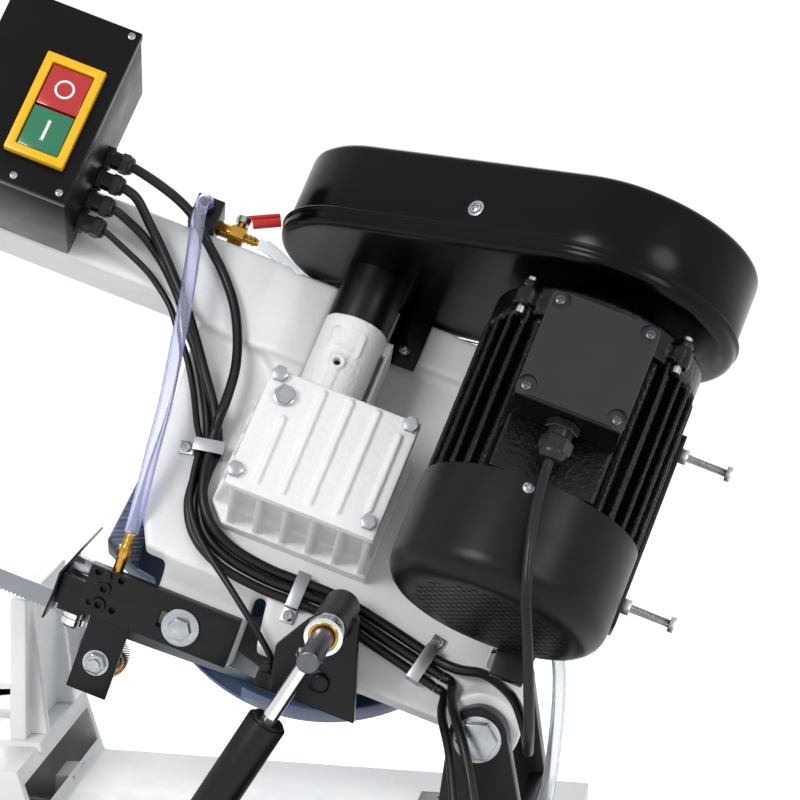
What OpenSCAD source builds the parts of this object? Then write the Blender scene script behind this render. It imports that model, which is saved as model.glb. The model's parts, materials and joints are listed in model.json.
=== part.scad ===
// Horizontal metal-cutting band saw with a canted swing bow.
// Millimetres. X runs towards the idler end, Y towards the rear, Z up.
// Bow parts are drawn in the bow's own axes: x towards the idler end,
// y square to the wheels and towards the rear, z up in the wheel plane,
// from the hub point on the rear face of the casting.

/* [Bow position] */
// angle of the bow above level
raise = 18.6; // [0:0.1:45]
// sideways lean of the wheel plane
cant = 33.3; // [25:0.1:45]
// hub point in front of the pivot, bow level
hub_x = 215; // [190:1:240]
// hub point above the pivot, bow level
hub_z = 120; // [100:1:140]

/* [Stand and bed] */
// height of the work surface
bed_top = 600; // [560:5:700]
// height of the bed casting
bed_h = 150; // [140:5:180]
// overall length of the bed
bed_l = 850; // [820:5:900]
// depth of the bed, front to rear
bed_d = 260; // [250:5:300]
// drop of the bed under the drive wheel
bed_step = 60; // [55:1:70]
// leg angle size
leg_w = 50; // [40:1:60]
// sheet thickness of the stand
sheet_t = 3; // [2:0.5:5]

/* [Vise] */
// jaw height
jaw_h = 135; // [100:1:150]
// jaw length
jaw_l = 150; // [120:1:160]
// jaw opening as shown
jaw_gap = 150; // [60:1:230]
// vise screw radius
screw_r = 8; // [6:0.5:10]

/* [Wheels and blade] */
// radius of both band wheels
wheel_r = 150; // [145:0.5:155]
// distance between the wheel axes
wheel_gap = 710; // [700:1:730]
// wheel rim width
rim_w = 24; // [20:1:30]
// blade width
blade_w = 19; // [13:0.5:20]
// blade thickness
blade_t = 0.9; // [0.6:0.1:1.1]
// tooth spacing
tooth_pitch = 4; // [3:0.5:6]
// distance of the blade's middle in front of the casting
blade_v = 110; // [108:0.5:112]
// guard radius round a wheel
guard_r = 168; // [165:1:172]

/* [Gearbox] */
// drive shaft radius
shaft_r = 15; // [12:0.5:18]
// teeth on the worm wheel
wheel_teeth = 29; // [20:1:40]
// tooth size of the worm pair
gear_mod = 2; // [1.5:0.25:2.5]
// pitch radius of the worm
worm_r = 9; // [8:0.5:10]
// height of the gearbox over the casting
box_h = 110; // [100:1:120]
// radius of the tube round the worm shaft
tube_r = 29; // [26:0.5:32]

/* [Belt drive] */
// height of the belt pan over the hub
pan_z = 193.5; // [190:0.5:200]
// radius of the pan at the motor end
pan_motor_r = 117; // [110:1:125]
// radius of the pan at the worm end
pan_worm_r = 99; // [90:1:105]
// rim height of the pan
pan_rim = 15; // [10:1:20]
// height of the belt cover
cover_h = 82; // [70:1:95]

/* [Motor] */
// motor axis beyond the hub
motor_x = 188; // [185:1:192]
// motor axis behind the casting
motor_y = 155; // [150:1:160]
// radius over the cooling fins
motor_r = 96; // [92:1:98]
// radius of the fan cover
fan_cover_r = 97; // [94:1:99]
// number of cooling fins round the motor
fin_count = 30; // [24:2:40]
// terminal box side length
term_w = 93; // [85:1:100]

/* [Electrics] */
// switch box width
switch_w = 120; // [100:1:130]
// switch box height
switch_h = 175; // [150:1:190]
// switch box depth without its lid
switch_d = 114; // [100:1:120]
// thick cable radius
lead_r = 4.6; // [3:0.1:5.5]

/* [Coolant] */
// radius of the blue hose
hose_r = 6.5; // [5:0.5:8]
// tank length
tank_l = 340; // [300:5:380]

/* [Guides] */
// length of the guide bracket
bracket_l = 143; // [130:1:150]
// height of the guide bracket
bracket_h = 46; // [40:1:50]
// thickness of the guide bracket
bracket_t = 12; // [8:1:14]
// guide roller radius
roller_r = 11; // [9:0.5:13]
// wire brush radius
brush_r = 24; // [20:1:28]

/* [Feed cylinder] */
// cylinder barrel radius
barrel_r = 18; // [16:0.5:20]
// piston rod radius
rod_r = 7; // [5:0.5:9]
// distance between the rod eye and the foot pin
cylinder_gap = 300; // [290:1:310]
// lean of the cylinder from upright
cylinder_lean = 31; // [29:0.5:33]

/* [Hidden] */
$fn = 48;
fit = 0.06;
casting_white = "#e6e7e4";
machine_black = "#1d1e20";
guard_blue = "#5b6a78";
bare_steel = "#b9bcc0";
bright_zinc = "#cfd2d6";
yellow_bronze = "#b98a3a";

// shift that puts the middle of the outline over the origin
frame_x = 197.74;
frame_y = -31.71;

blade_r = wheel_r + blade_t / 2 + 0.3;
tooth_q = -blade_v * sin(cant) - blade_r * cos(cant) - blade_w / 2;
pivot_x = -hub_x;
pivot_z = bed_top - 3 - tooth_q - hub_z;
drive_x = -20;
idler_x = drive_x + wheel_gap;
worm_x = drive_x + worm_r + gear_mod * wheel_teeth / 2;
worm_y = 55;
belt_r = 46;
cover_z = pan_z + 2.1;
tray_z = bed_top - bed_h;
tank_top = tray_z - 154;
bed_x0 = -290;
bed_x1 = bed_x0 + bed_l;
bed_y1 = 70;
bed_y0 = bed_y1 - bed_d;
low_top = bed_top - bed_step;
jaw_x = 236;
jaw_y0 = -20 - jaw_l;
slot_y = -95;
screw_z = bed_top - 88;
term_x = -motor_x - term_w / 2;
term_y = motor_y + 83;
box_x = 291;
box_z = 125;
pin_x = -62;
pin_z = -68;
eye_y = 149;
guide_x = 168;
guide_y = -blade_v * cos(cant) + blade_r * sin(cant);
gear_r = gear_mod * wheel_teeth / 2;

// ---- placing ----

module in_frame() {
  translate([-frame_x, -frame_y, 0]) children();
}

module on_level() {
  in_frame() translate([pivot_x, 0, pivot_z]) rotate([0, -raise, 0])
    translate([hub_x, 0, hub_z]) children();
}

module on_bow() {
  on_level() rotate([cant, 0, 0]) children();
}

// a point of the bow's axes in the machine's axes, before the frame shift
function lean_pt(p) = [p[0], p[1] * cos(cant) - p[2] * sin(cant),
                       p[1] * sin(cant) + p[2] * cos(cant)];
function swing_pt(p) = let (a = p[0] + hub_x, b = p[2] + hub_z)
  [pivot_x + a * cos(raise) - b * sin(raise), p[1],
   pivot_z + a * sin(raise) + b * cos(raise)];
function bow_pt(p) = swing_pt(lean_pt(p));

// ---- shapes that repeat ----

module plate_xz(points, y, t) {
  translate([0, y + t, 0]) rotate([90, 0, 0]) linear_extrude(t)
    polygon(points);
}

module plate_yz(points, x, t) {
  translate([x, 0, 0]) rotate([90, 0, 90]) linear_extrude(t)
    polygon(points);
}

module rod_x(y, z, x0, x1, r) {
  translate([x0, y, z]) rotate([0, 90, 0]) cylinder(r = r, h = x1 - x0);
}

module rod_y(x, z, y0, y1, r) {
  translate([x, y0, z]) rotate([-90, 0, 0]) cylinder(r = r, h = y1 - y0);
}

module rod_z(x, y, z0, z1, r) {
  translate([x, y, z0]) cylinder(r = r, h = z1 - z0);
}

// a body of revolution about a y axis; points are [radius, y]
module turn_y(x, z, points) {
  translate([x, 0, z]) rotate([-90, 0, 0]) rotate_extrude(convexity = 4)
    polygon(points);
}

module turn_z(x, y, points) {
  translate([x, y, 0]) rotate_extrude(convexity = 4) polygon(points);
}

module block(a, b) {
  translate(a) cube(b - a);
}

module hex_y(x, z, y0, y1, r) {
  translate([x, y0, z]) rotate([-90, 0, 0])
    cylinder(r = r, h = y1 - y0, $fn = 6);
}

module hex_x(y, z, x0, x1, r) {
  translate([x0, y, z]) rotate([0, 90, 0])
    cylinder(r = r, h = x1 - x0, $fn = 6);
}

module hex_z(x, y, z0, z1, r) {
  translate([x, y, z0]) cylinder(r = r, h = z1 - z0, $fn = 6);
}

// pan head with a cross recess, facing +y
module pan_head(x, z, y, r) {
  difference() {
    turn_y(x, z, [[0, y], [r, y], [r, y + r * 0.35], [r * 0.7, y + r * 0.6],
                  [0, y + r * 0.65]]);
    for (a = [0, 90]) translate([x, y + r * 0.3, z]) rotate([0, a + 20, 0])
      translate([-r * 0.5, 0, -r * 0.1]) cube([r, r, r * 0.2]);
  }
}

// ---- tubes along a route ----

function unit(a) = a / norm(a);
function spline(p, k) = [for (i = [0 : len(p) - 2]) for (j = [0 : k - 1])
  let (a = p[max(i - 1, 0)], b = p[i], c = p[i + 1],
       d = p[min(i + 2, len(p) - 1)], t = j / k)
  0.5 * (2 * b + (c - a) * t + (2 * a - 5 * b + 4 * c - d) * t * t
         + (3 * b - a - 3 * c + d) * t * t * t), p[len(p) - 1]];
function tangents(p) = [for (i = [0 : len(p) - 1])
  unit(p[min(i + 1, len(p) - 1)] - p[max(i - 1, 0)])];
function first_side(t) = unit(cross(t, abs(t[2]) < 0.8 ? [0, 0, 1]
                                                        : [1, 0, 0]));
function sides_of(t, i = 0, n = [0, 0, 0], acc = []) =
  i == len(t) ? acc
  : let (m = i == 0 ? first_side(t[0]) : unit(n - (n * t[i]) * t[i]))
    sides_of(t, i + 1, m, concat(acc, [m]));

module tube(route, r, k = 3, sides = 8) {
  p = spline(route, k);
  t = tangents(p);
  n = sides_of(t);
  rings = len(p);
  pts = [for (i = [0 : rings - 1]) for (s = [0 : sides - 1])
    let (a = 360 * s / sides)
    p[i] + r * (cos(a) * n[i] + sin(a) * cross(t[i], n[i]))];
  walls = [for (i = [0 : rings - 2]) for (s = [0 : sides - 1])
    let (u = (s + 1) % sides)
    [i * sides + s, i * sides + u, (i + 1) * sides + u,
     (i + 1) * sides + s]];
  caps = [[for (s = [sides - 1 : -1 : 0]) s],
          [for (s = [0 : sides - 1]) (rings - 1) * sides + s]];
  polyhedron(points = pts, faces = concat(
    [for (f = walls) [f[3], f[2], f[1], f[0]]],
    [for (f = caps) [for (j = [len(f) - 1 : -1 : 0]) f[j]]]),
    convexity = 10);
}

// ---- stand, bed and vise ----

module stand_frame() color(machine_black) in_frame() {
  top = tray_z - sheet_t;
  xs = [bed_x0, bed_x1 - leg_w];
  ys = [bed_y0 - 20, bed_y1 + 110];
  for (i = [0, 1]) for (j = [0, 1]) {
    x = xs[i];
    y = ys[j];
    block([x, y + j * (leg_w - 4), 12], [x + leg_w, y + 4 + j * (leg_w - 4), top]);
    block([x + i * (leg_w - 4), y, 12], [x + 4 + i * (leg_w - 4), y + leg_w, top]);
    rod_z(x + leg_w / 2, y + leg_w / 2, 0, 8, 24);
    rod_z(x + leg_w / 2, y + leg_w / 2, 8, 20, 6);
    block([x, y, 12], [x + leg_w, y + leg_w, 15]);
  }
  for (z = [110, top - 40]) {
    for (y = [ys[0], ys[1] + leg_w - 3])
      block([xs[0] + 4, y, z], [xs[1] + leg_w - 4, y + 3, z + 40]);
    for (x = [xs[0], xs[1] + leg_w - 3])
      block([x, ys[0] + 4, z], [x + 3, ys[1] + leg_w - 4, z + 40]);
  }
  for (x = [xs[0], xs[1] + leg_w - 3])
    block([x, ys[0] + 4, 145], [x + 3, ys[1] + leg_w - 4, top - 35]);
  block([xs[0], ys[0], 147], [xs[1] + leg_w, ys[1] + leg_w, 150]);
}

module chip_tray() color(machine_black) in_frame() {
  a = [bed_x0 - 40, bed_y0 - 40, tray_z - sheet_t];
  b = [bed_x1 + 30, bed_y1 + 170, tray_z + 40];
  difference() {
    block(a, b);
    block([a[0] + sheet_t, a[1] + sheet_t, tray_z],
          [b[0] - sheet_t, b[1] - sheet_t, tray_z + 41]);
    rod_z(80, bed_y1 + 130, tray_z - 10, tray_z + 10, 15);
  }
  block([-262, b[1] - 1, tray_z + 8], [-228, b[1] + 3.9, tray_z + 26]);
}

module bed() color(casting_white) in_frame() {
  x0 = bed_x0;
  x1 = bed_x1;
  outer = [[x0, tray_z], [x0, low_top], [185, low_top], [205, bed_top],
           [x1 - 40, bed_top], [x1, bed_top - 40], [x1, tray_z]];
  inner = [[x0 + 12, tray_z - 1], [x0 + 12, low_top - 14],
           [181, low_top - 14], [199, bed_top - 16],
           [x1 - 46, bed_top - 16], [x1 - 12, bed_top - 48],
           [x1 - 12, tray_z - 1]];
  difference() {
    union() {
      difference() {
        plate_xz(outer, bed_y0, bed_d);
        plate_xz(inner, bed_y0 + 12, bed_d - 24);
      }
      block([x1 - 45, slot_y - 22, tray_z], [x1 - 6, slot_y + 22, screw_z + 26]);
      block([187, slot_y - 22, tray_z], [206, slot_y + 22, bed_top - 50]);
    }
    block([232, slot_y - 12, bed_top - 20], [516, slot_y + 12, bed_top + 1]);
    block([196, guide_y - 5, bed_top - 9], [x1 + 1, guide_y + 5, bed_top + 1]);
    rod_x(slot_y, screw_z, 180, x1 + 1, screw_r + fit);
    rod_y(250, bed_top - 32, bed_y0 - 1, bed_y0 + 13, 8 + fit);
    for (x = [-265, -165]) for (y = [-70, 90 - 40])
      rod_z(x, y, low_top - 20, low_top + 1, 5.1);
  }
}

module jaw_shape(x, dir) {
  block([x, jaw_y0, bed_top], [x + 16, -20, bed_top + jaw_h]);
  for (y = [jaw_y0 + 20, -20 - 32])
    plate_xz([[x + 8 - dir * 8, bed_top], [x + 8 + dir * 24, bed_top],
              [x + 8 + dir * 8, bed_top + jaw_h - 12],
              [x + 8 - dir * 8, bed_top + jaw_h - 12]], y, 12);
}

module fixed_jaw() color(casting_white) in_frame() {
  jaw_shape(jaw_x - 16, -1);
}

module movable_jaw() color(casting_white) in_frame() {
  x = jaw_x + jaw_gap;
  difference() {
    union() {
      translate([0, 0, 0.3]) jaw_shape(x, 1);
      block([x, jaw_y0 + 10, bed_top + 0.3], [x + 50, -30, bed_top + 22]);
      block([x + 22, slot_y - 10, screw_z - 14],
            [x + 46, slot_y + 10, bed_top + 2]);
    }
    rod_x(slot_y, screw_z, x, x + 60, screw_r + fit);
  }
}

module vise_screw() color(bare_steel) in_frame() {
  rod_x(slot_y, screw_z, 187, bed_x1 + 50, screw_r);
  rod_x(slot_y, screw_z, bed_x1 + 0.3, bed_x1 + 14, 15);
}

module vise_handwheel() color(machine_black) in_frame() {
  x = bed_x1 + 30;
  difference() {
    union() {
      translate([x + 10, slot_y, screw_z]) rotate([0, 90, 0])
        rotate_extrude() translate([45, 0]) circle(r = 5, $fn = 20);
      for (a = [0, 120, 240]) translate([x + 10, slot_y, screw_z])
        rotate([a, 0, 0]) translate([-4, -5, 8]) cube([8, 10, 35]);
      rod_x(slot_y, screw_z, x, x + 19, 16);
    }
    rod_x(slot_y, screw_z, x - 1, x + 20, screw_r);
  }
  rod_x(slot_y, screw_z + 45, x + 14, x + 60, 7);
}

module work_stop() color(bare_steel) in_frame() {
  z = bed_top - 32;
  rod_y(250, z, bed_y0 - 150, bed_y0 + 60, 8);
  difference() {
    block([236, bed_y0 - 146, z - 14], [264, bed_y0 - 126, z + 90]);
    rod_y(250, z, bed_y0 - 160, bed_y0 - 100, 8);
  }
  rod_y(250, z + 76, bed_y0 - 126, bed_y0 - 106, 6);
}

module pivot_bracket() color(machine_black) in_frame() {
  difference() {
    union() {
      block([-288, -85, low_top], [-142, 110, low_top + 16]);
      for (y = [[-85, -62, 30], [84, 104, 26]]) {
        rod_y(pivot_x, pivot_z, y[0], y[1], y[2]);
        plate_xz([[pivot_x - 50, low_top + 10], [pivot_x + 40, low_top + 10],
                  [pivot_x + y[2], pivot_z], [pivot_x - y[2], pivot_z]],
                 y[0], y[1] - y[0]);
      }
      block([pivot_x - 45, -70, low_top + 10], [pivot_x - 29, 90, low_top + 50]);
    }
    rod_y(pivot_x, pivot_z, -100, 120, shaft_r + fit);
    for (x = [-265, -165]) for (y = [-70, 50])
      rod_z(x, y, low_top - 1, low_top + 17, 5.5);
  }
  foot = foot_pt();
  z0 = tray_z + 8;
  difference() {
    union() {
      block([foot[0] - 34, bed_y1, z0], [foot[0] + 34, bed_y1 + 10, foot[2] + 34]);
      block([foot[0] - 34, bed_y1, z0], [foot[0] + 34, eye_y + 32, z0 + 8]);
      for (y = [eye_y - 32, eye_y + 24]) {
        rod_y(foot[0], foot[2], y, y + 8, 30);
        block([foot[0] - 30, y, z0], [foot[0] + 30, y + 8, foot[2]]);
      }
    }
    rod_y(foot[0], foot[2], bed_y1 + 11, eye_y + 50, 20);
  }
}

module pivot_shaft() color(bare_steel) in_frame() {
  rod_y(pivot_x, pivot_z, -96, 116, shaft_r);
  rod_y(pivot_x, pivot_z, -90, -85, 21);
  rod_y(pivot_x, pivot_z, 104, 108, 21);
  hex_y(pivot_x, pivot_z, 108, 116, 18.5);
  hex_y(pivot_x, pivot_z, -98, -90, 18.5);
}

module coolant_tank() color("#8d9296") in_frame() {
  x = -60;
  difference() {
    block([x, -130, 150], [x + tank_l, 130, tank_top]);
    block([x + 2, -128, 152], [x + tank_l - 2, 128, tank_top - 2]);
    block([x + 180, -90, tank_top - 6], [x + tank_l - 30, 90, tank_top + 1]);
  }
  block([x - 8, -138, tank_top - 4], [x, 138, tank_top]);
}

module coolant_pump() color(machine_black) in_frame() {
  x = -10;
  z = tank_top;
  difference() {
    union() {
      rod_z(x, 0, z, z + 8, 60);
      rod_z(x, 0, z + 8, z + 34, 42);
      rod_z(x, 0, z + 34, z + 104, 50);
      turn_z(x, 0, [[0, z + 104], [50, z + 104], [50, z + 112],
                    [38, z + 122], [0, z + 122]]);
      rod_y(x, z + 22, 30, 66, 9);
    }
    rod_y(x, z + 22, 45, 67, 5);
  }
  block([x - 74, -26, z + 44], [x - 48, 26, z + 88]);
}

// ---- bow casting and gearbox ----

plate_outline = [[157, 126], [157, 89], [148, 10], [146, -35], [140, -63],
                 [121, -98], [4, -98], [-4, -146], [-235, -146],
                 [-235, -102], [-198, -92], [-198, -20], [-170, 80],
                 [-150, 190], [157, 190]];
arm_outline = [[560, 126], [184, 126], [148, 112], [92, 108], [78, 97],
               [66, 72], [52, 72], [52, 150], [-150, 150], [-150, 190],
               [20, 192.8], [98, 192.8], [102, 197], [862, 197], [862, 126]];
idler_outline = [[560, 130], [545, 60], [560, -60], [610, -110],
                 [770, -110], [830, -60], [862, 40], [862, 130]];

module casting_plates() {
  difference() {
    union() {
      plate_xz(plate_outline, -36, 26);
      plate_xz(arm_outline, -60, 60);
      plate_xz(idler_outline, -36, 26);
      // ramped pad where the arm thickens over the gearbox
      translate([0, 0, 109]) linear_extrude(81)
        polygon([[112, -1], [112, 0], [85, 8], [50, 8], [50, -1]]);
      rod_y(drive_x, 0, -60, -10, 42);
      for (p = [[-140, 110], [-105, -15], [-178, -40]])
        rod_y(p[0], p[1], -10, 46, 12);
      // ways of the tension block and the screw's end boss
      for (z = [27, -45]) block([610, -60, z], [810, -30, z + 18]);
      block([826, -60, -20], [850, -20, 20]);
      for (x = [-72, 82, 560, 762])
        block([x, -68, 166], [x + 10, -58, 184]);
      // lifting handle
      block([860, -42, 146], [874, -18, 174]);
      rod_x(-30, 160, 872, 960, 11);
    }
    block([190, -61, 138], [560, -14, 186]);
    block([648, -40, -20], [728, -5, 20]);
    rod_y(drive_x, 0, -61, -9, shaft_r + fit);
    rod_x(-48, 0, 820, 870, 8 + fit);
    for (x = [-73, 81, 559, 761]) rod_x(-64, 176, x, x + 12, 3 + fit);
  }
}

module casting_lugs() {
  difference() {
    union() {
      // post that carries the guide bracket under the plate
      plate_yz([[40, -81], [45.2, -88.4], [28, -115], [28, -172], [10, -172],
                [10, -118], [17, -102], [30, -83]], 15, 86);
      rod_y(-hub_x, -hub_z, -47, 80, 34);
      block([-70 - 12, 48, -137], [-70 + 12, 78, -113]);
    }
    rod_y(68, -148, 5, 30, 5.1);
  }
}

module bow_casting() color(casting_white) on_level() difference() {
  union() {
    rotate([cant, 0, 0]) casting_plates();
    casting_lugs();
  }
  rod_y(-hub_x, -hub_z, -60, 90, shaft_r + fit);
}

module gearbox_housing() color(casting_white) on_bow() difference() {
  union() {
    block([-62, -10, -40], [66, box_h - 12, 55]);
    plate_xz([[-71, -57], [66, -57], [82, -40], [82, 62], [-71, 62]], -10, 16);
    block([-71, box_h - 14, -52], [67, box_h - 6, 62]);
    // six ribs under the housing and five on its side
    for (x = [-65, -40, -15, 10, 35, 60])
      plate_yz([[-10, -38], [box_h - 10, -38], [box_h - 10, -47], [4, -55],
                [-10, -56]], x - 3, 6);
    for (z = [-37, -16, 7, 30, 52])
      translate([0, 0, z - 3]) linear_extrude(6)
        polygon([[62, -10], [62, box_h - 10], [67, box_h - 10], [80, 4],
                 [80, -10]]);
    rod_z(worm_x, worm_y, 50, 142, tube_r);
    block([-18, -10, 58], [6, 52, 142]);
    rod_y(20, 96, worm_y + 20, worm_y + tube_r + 2.5, 7);
    block([16.5, worm_y + 18, 58], [23.5, worm_y + tube_r + 1.6, 92]);
    block([4, worm_y + 12, 108], [34, worm_y + tube_r - 1.3, 128]);
    block([13, worm_y + 12, 98], [27, worm_y + tube_r + 0.6, 112]);
  }
  rod_y(drive_x, 0, -11, box_h - 5, shaft_r + fit);
  rod_y(drive_x, 0, 20, box_h - 5, gear_r + 4);
  rod_z(worm_x, worm_y, -34, 52, 15);
  rod_z(worm_x, worm_y, 50, 143, 12 + fit);
  block([-14, 24, 74], [2, 53, 128]);
  rod_y(20, 96, worm_y + 22, worm_y + tube_r + 3, 3.5);
}

module cover_rib(x, z0, z1) {
  rod_z(x, box_h, z0, z1, 3.2);
  for (z = [z0, z1]) translate([x, box_h, z]) sphere(r = 3.2);
}

module gearbox_cover() color(casting_white) on_bow() difference() {
  union() {
    block([-71, box_h - 6, -52], [67, box_h, 62]);
    for (p = [[41, -40, 20], [17, -41, 55], [-8, -41, 56], [-33, -40, 56],
              [-58, -28, 43]])
      cover_rib(p[0], p[1], p[2]);
  }
  rod_y(drive_x, 0, box_h - 7, box_h - 4, shaft_r + 1);
}

module worm_wheel() color(yellow_bronze) on_bow() {
  step = 360 / wheel_teeth;
  root = gear_r - gear_mod;
  tip = gear_r + gear_mod * 0.9;
  difference() {
    translate([drive_x, worm_y - 9, 0]) rotate([-90, 0, 0])
      linear_extrude(18) polygon([for (i = [0 : wheel_teeth - 1])
        for (q = [[-0.32, root], [-0.14, tip], [0.14, tip], [0.32, root]])
          let (a = (i + q[0]) * step) q[1] * [cos(a), sin(a)]]);
    rod_y(drive_x, 0, worm_y - 10, worm_y + 10, shaft_r);
  }
}

module worm_shaft() color(bare_steel) on_bow() {
  pitch = gear_mod * 3.14159;
  turns = 44 / pitch;
  rod_z(worm_x, worm_y, -33, -22, 8);
  rod_z(worm_x, worm_y, 22, 257, 8.5);
  rod_z(worm_x, worm_y, 52, 140, 12);
  // single-start thread: an off-centre disc carried round the shaft
  translate([worm_x, worm_y, -22.2]) linear_extrude(height = 44.4,
    twist = -360 * turns, slices = 70, $fn = 12)
    rotate(-180 * turns) translate([1.4, 0])
    circle(r = worm_r - 1.6, $fn = 12);
  stepped_pulley(worm_x, worm_y, [36, belt_r - 5.7, 54]);
}

// three-step pulley for a narrow vee belt, largest step last
module stepped_pulley(x, y, radii) {
  z = pan_z + 12;
  for (i = [0 : 2]) turn_z(x, y, [
    [7, z + i * 16], [radii[i] + 6, z + i * 16],
    [radii[i] + 6, z + i * 16 + 2.5], [radii[i], z + i * 16 + 2.5],
    [radii[i], z + i * 16 + 13.5], [radii[i] + 6, z + i * 16 + 13.5],
    [radii[i] + 6, z + i * 16 + 16], [7, z + i * 16 + 16]]);
}

// ---- belt drive ----

// outline round both pulley axes, with straight tangent sides
module belt_outline(grow, worm_end = pan_worm_r, motor_end = pan_motor_r) {
  a = [worm_x - 3, 59];
  b = [-motor_x + 3, motor_y];
  ra = worm_end + grow;
  rb = motor_end + grow;
  phi = atan2(b[1] - a[1], b[0] - a[0]);
  beta = acos((ra - rb) / norm(b - a));
  translate(a) circle(r = ra, $fn = 96);
  translate(b) circle(r = rb, $fn = 96);
  e = 0.02;
  polygon([a + (ra - e) * [cos(phi + beta), sin(phi + beta)],
           b + (rb - e) * [cos(phi + beta), sin(phi + beta)],
           b + (rb - e) * [cos(phi - beta), sin(phi - beta)],
           a + (ra - e) * [cos(phi - beta), sin(phi - beta)]]);
}

// wall of even thickness round the same outline
module belt_wall(grow, wall, a = [worm_x - 3, 59],
                 b = [-motor_x + 3, motor_y], worm_end = pan_worm_r,
                 motor_end = pan_motor_r) {
  ra = worm_end + grow;
  rb = motor_end + grow;
  phi = atan2(b[1] - a[1], b[0] - a[0]);
  beta = acos((ra - rb) / norm(b - a));
  way = [cos(phi), sin(phi)];
  n = [for (s = [1, -1]) [cos(phi + s * beta), sin(phi + s * beta)]];
  t = [[n[0][1], -n[0][0]], [-n[1][1], n[1][0]]];
  difference() {
    translate(a) circle(r = ra, $fn = 96);
    translate(a) circle(r = ra - wall, $fn = 96);
    polygon([a + 1.5 * t[0], a + 1.5 * t[0] + 300 * n[0], a + 500 * way,
             a + 1.5 * t[1] + 300 * n[1], a + 1.5 * t[1]]);
  }
  difference() {
    translate(b) circle(r = rb, $fn = 96);
    translate(b) circle(r = rb - wall, $fn = 96);
    polygon([b - 1.5 * t[0], b - 1.5 * t[0] + 300 * n[0], b - 500 * way,
             b - 1.5 * t[1] + 300 * n[1], b - 1.5 * t[1]]);
  }
  e = 0.1;
  for (i = [0, 1]) polygon([
    a + (ra - e) * n[i] - t[i], b + (rb - e) * n[i] + t[i],
    b + (rb - wall + e) * n[i] + t[i],
    a + (ra - wall + e) * n[i] - t[i]]);
}

module belt_pan() color(machine_black) on_bow() {
  difference() {
    union() {
      translate([0, 0, pan_z]) linear_extrude(2) belt_outline(0);
      translate([0, 0, pan_z]) linear_extrude(pan_rim) belt_wall(0, 2);
      rod_z(worm_x, worm_y, 142, pan_z + 1, 28.5);
      block([-40, 0.3, 142.2], [-9, 3.3, pan_z + 1]);
    }
    rod_z(worm_x, worm_y, 141, pan_z + 4, 12 + fit);
    rod_z(-motor_x, motor_y, pan_z - 1, pan_z + 3, 46);
    rod_y(-25, 158, -1, 6, 3);
  }
}

module belt_cover() color(machine_black) on_bow() {
  top = cover_z + cover_h;
  translate([0, 0, cover_z]) linear_extrude(cover_h - 8)
    belt_wall(-2.5, 2);
  for (s = [0 : 4]) let (a = 18 * s, b = 18 * (s + 1))
    translate([0, 0, top - 9.05 + 9 * sin(a)])
      linear_extrude(9 * (sin(b) - sin(a)) + 0.05)
      belt_outline(-2.6 - 9 * (1 - cos((a + b) / 2)));
  // screw in the long side of the cover
  translate([-49.7, 208.2, cover_z + 32]) rotate([0, 0, -30.3])
    pan_head(0, 0, 0, 5);
}

module drive_belt() color(machine_black) on_bow()
  translate([0, 0, pan_z + 12 + 16 + 3]) linear_extrude(10)
  belt_wall(0, 5.2, [worm_x, worm_y], [-motor_x, motor_y], belt_r, belt_r);

// ---- motor ----

module motor_housing() color(machine_black) on_bow() difference() {
  union() {
    rod_z(-motor_x, motor_y, 3, 153, motor_r - 13);
    for (i = [0 : fin_count - 1]) let (a = i * 360 / fin_count)
      if (abs(a - 90) > 32 && abs(a - 270) > 20)
        translate([-motor_x, motor_y, 5]) rotate([0, 0, a])
          translate([motor_r - 16, -2, 0]) cube([16, 4, 147]);
    turn_z(-motor_x, motor_y, [[20, 150], [motor_r - 4, 150],
      [motor_r - 2, 156], [motor_r - 2, 176], [motor_r - 16, 183],
      [20, 183]]);
    rod_z(-motor_x, motor_y, 182, 190, 40);
    for (a = [45 : 90 : 315])
      translate([-motor_x, motor_y, 0]) rotate([0, 0, a])
        rod_z(motor_r + 1, 0, 152.5, 170, 11);
    // flat seat of the terminal box
    block([term_x, motor_y + 60, 6.5], [term_x + term_w, term_y, 146]);
    // foot on the motor plate
    block([-motor_x - 50, 56, 24], [-motor_x + 50, motor_y - 60, 138]);
  }
  rod_z(-motor_x, motor_y, 8, 142, 51);
  rod_z(-motor_x, motor_y, -5, 12, 8 + fit);
  rod_z(-motor_x, motor_y, 130, 200, 12 + fit);
  for (a = [45 : 90 : 315])
    translate([-motor_x, motor_y, 0]) rotate([0, 0, a])
      {
        rod_z(motor_r + 3, 0, 140, 180, 4 + fit);
        rod_z(motor_r + 3, 0, 169.9, 184, 8.4);
      }
}

module motor_rotor() color(bare_steel) on_bow() {
  rod_z(-motor_x, motor_y, -80, 142, 8);
  rod_z(-motor_x, motor_y, 10, 128, 50);
  rod_z(-motor_x, motor_y, 128, 257, 12);
  translate([0, 0, 0]) difference() {
    stepped_pulley(-motor_x, motor_y, [54, belt_r - 5.7, 36]);
    rod_z(-motor_x, motor_y, 195, 270, 11);
  }
}

module motor_fan() color("#303236") on_bow() {
  difference() {
    union() {
      rod_z(-motor_x, motor_y, -72, -34, 22);
      rod_z(-motor_x, motor_y, -40, -36, 72);
      for (i = [0 : 7]) translate([-motor_x, motor_y, -72])
        rotate([0, 0, i * 45]) translate([18, -1.5, 0]) cube([56, 3, 34]);
    }
    rod_z(-motor_x, motor_y, -75, -30, 8);
  }
}

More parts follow.
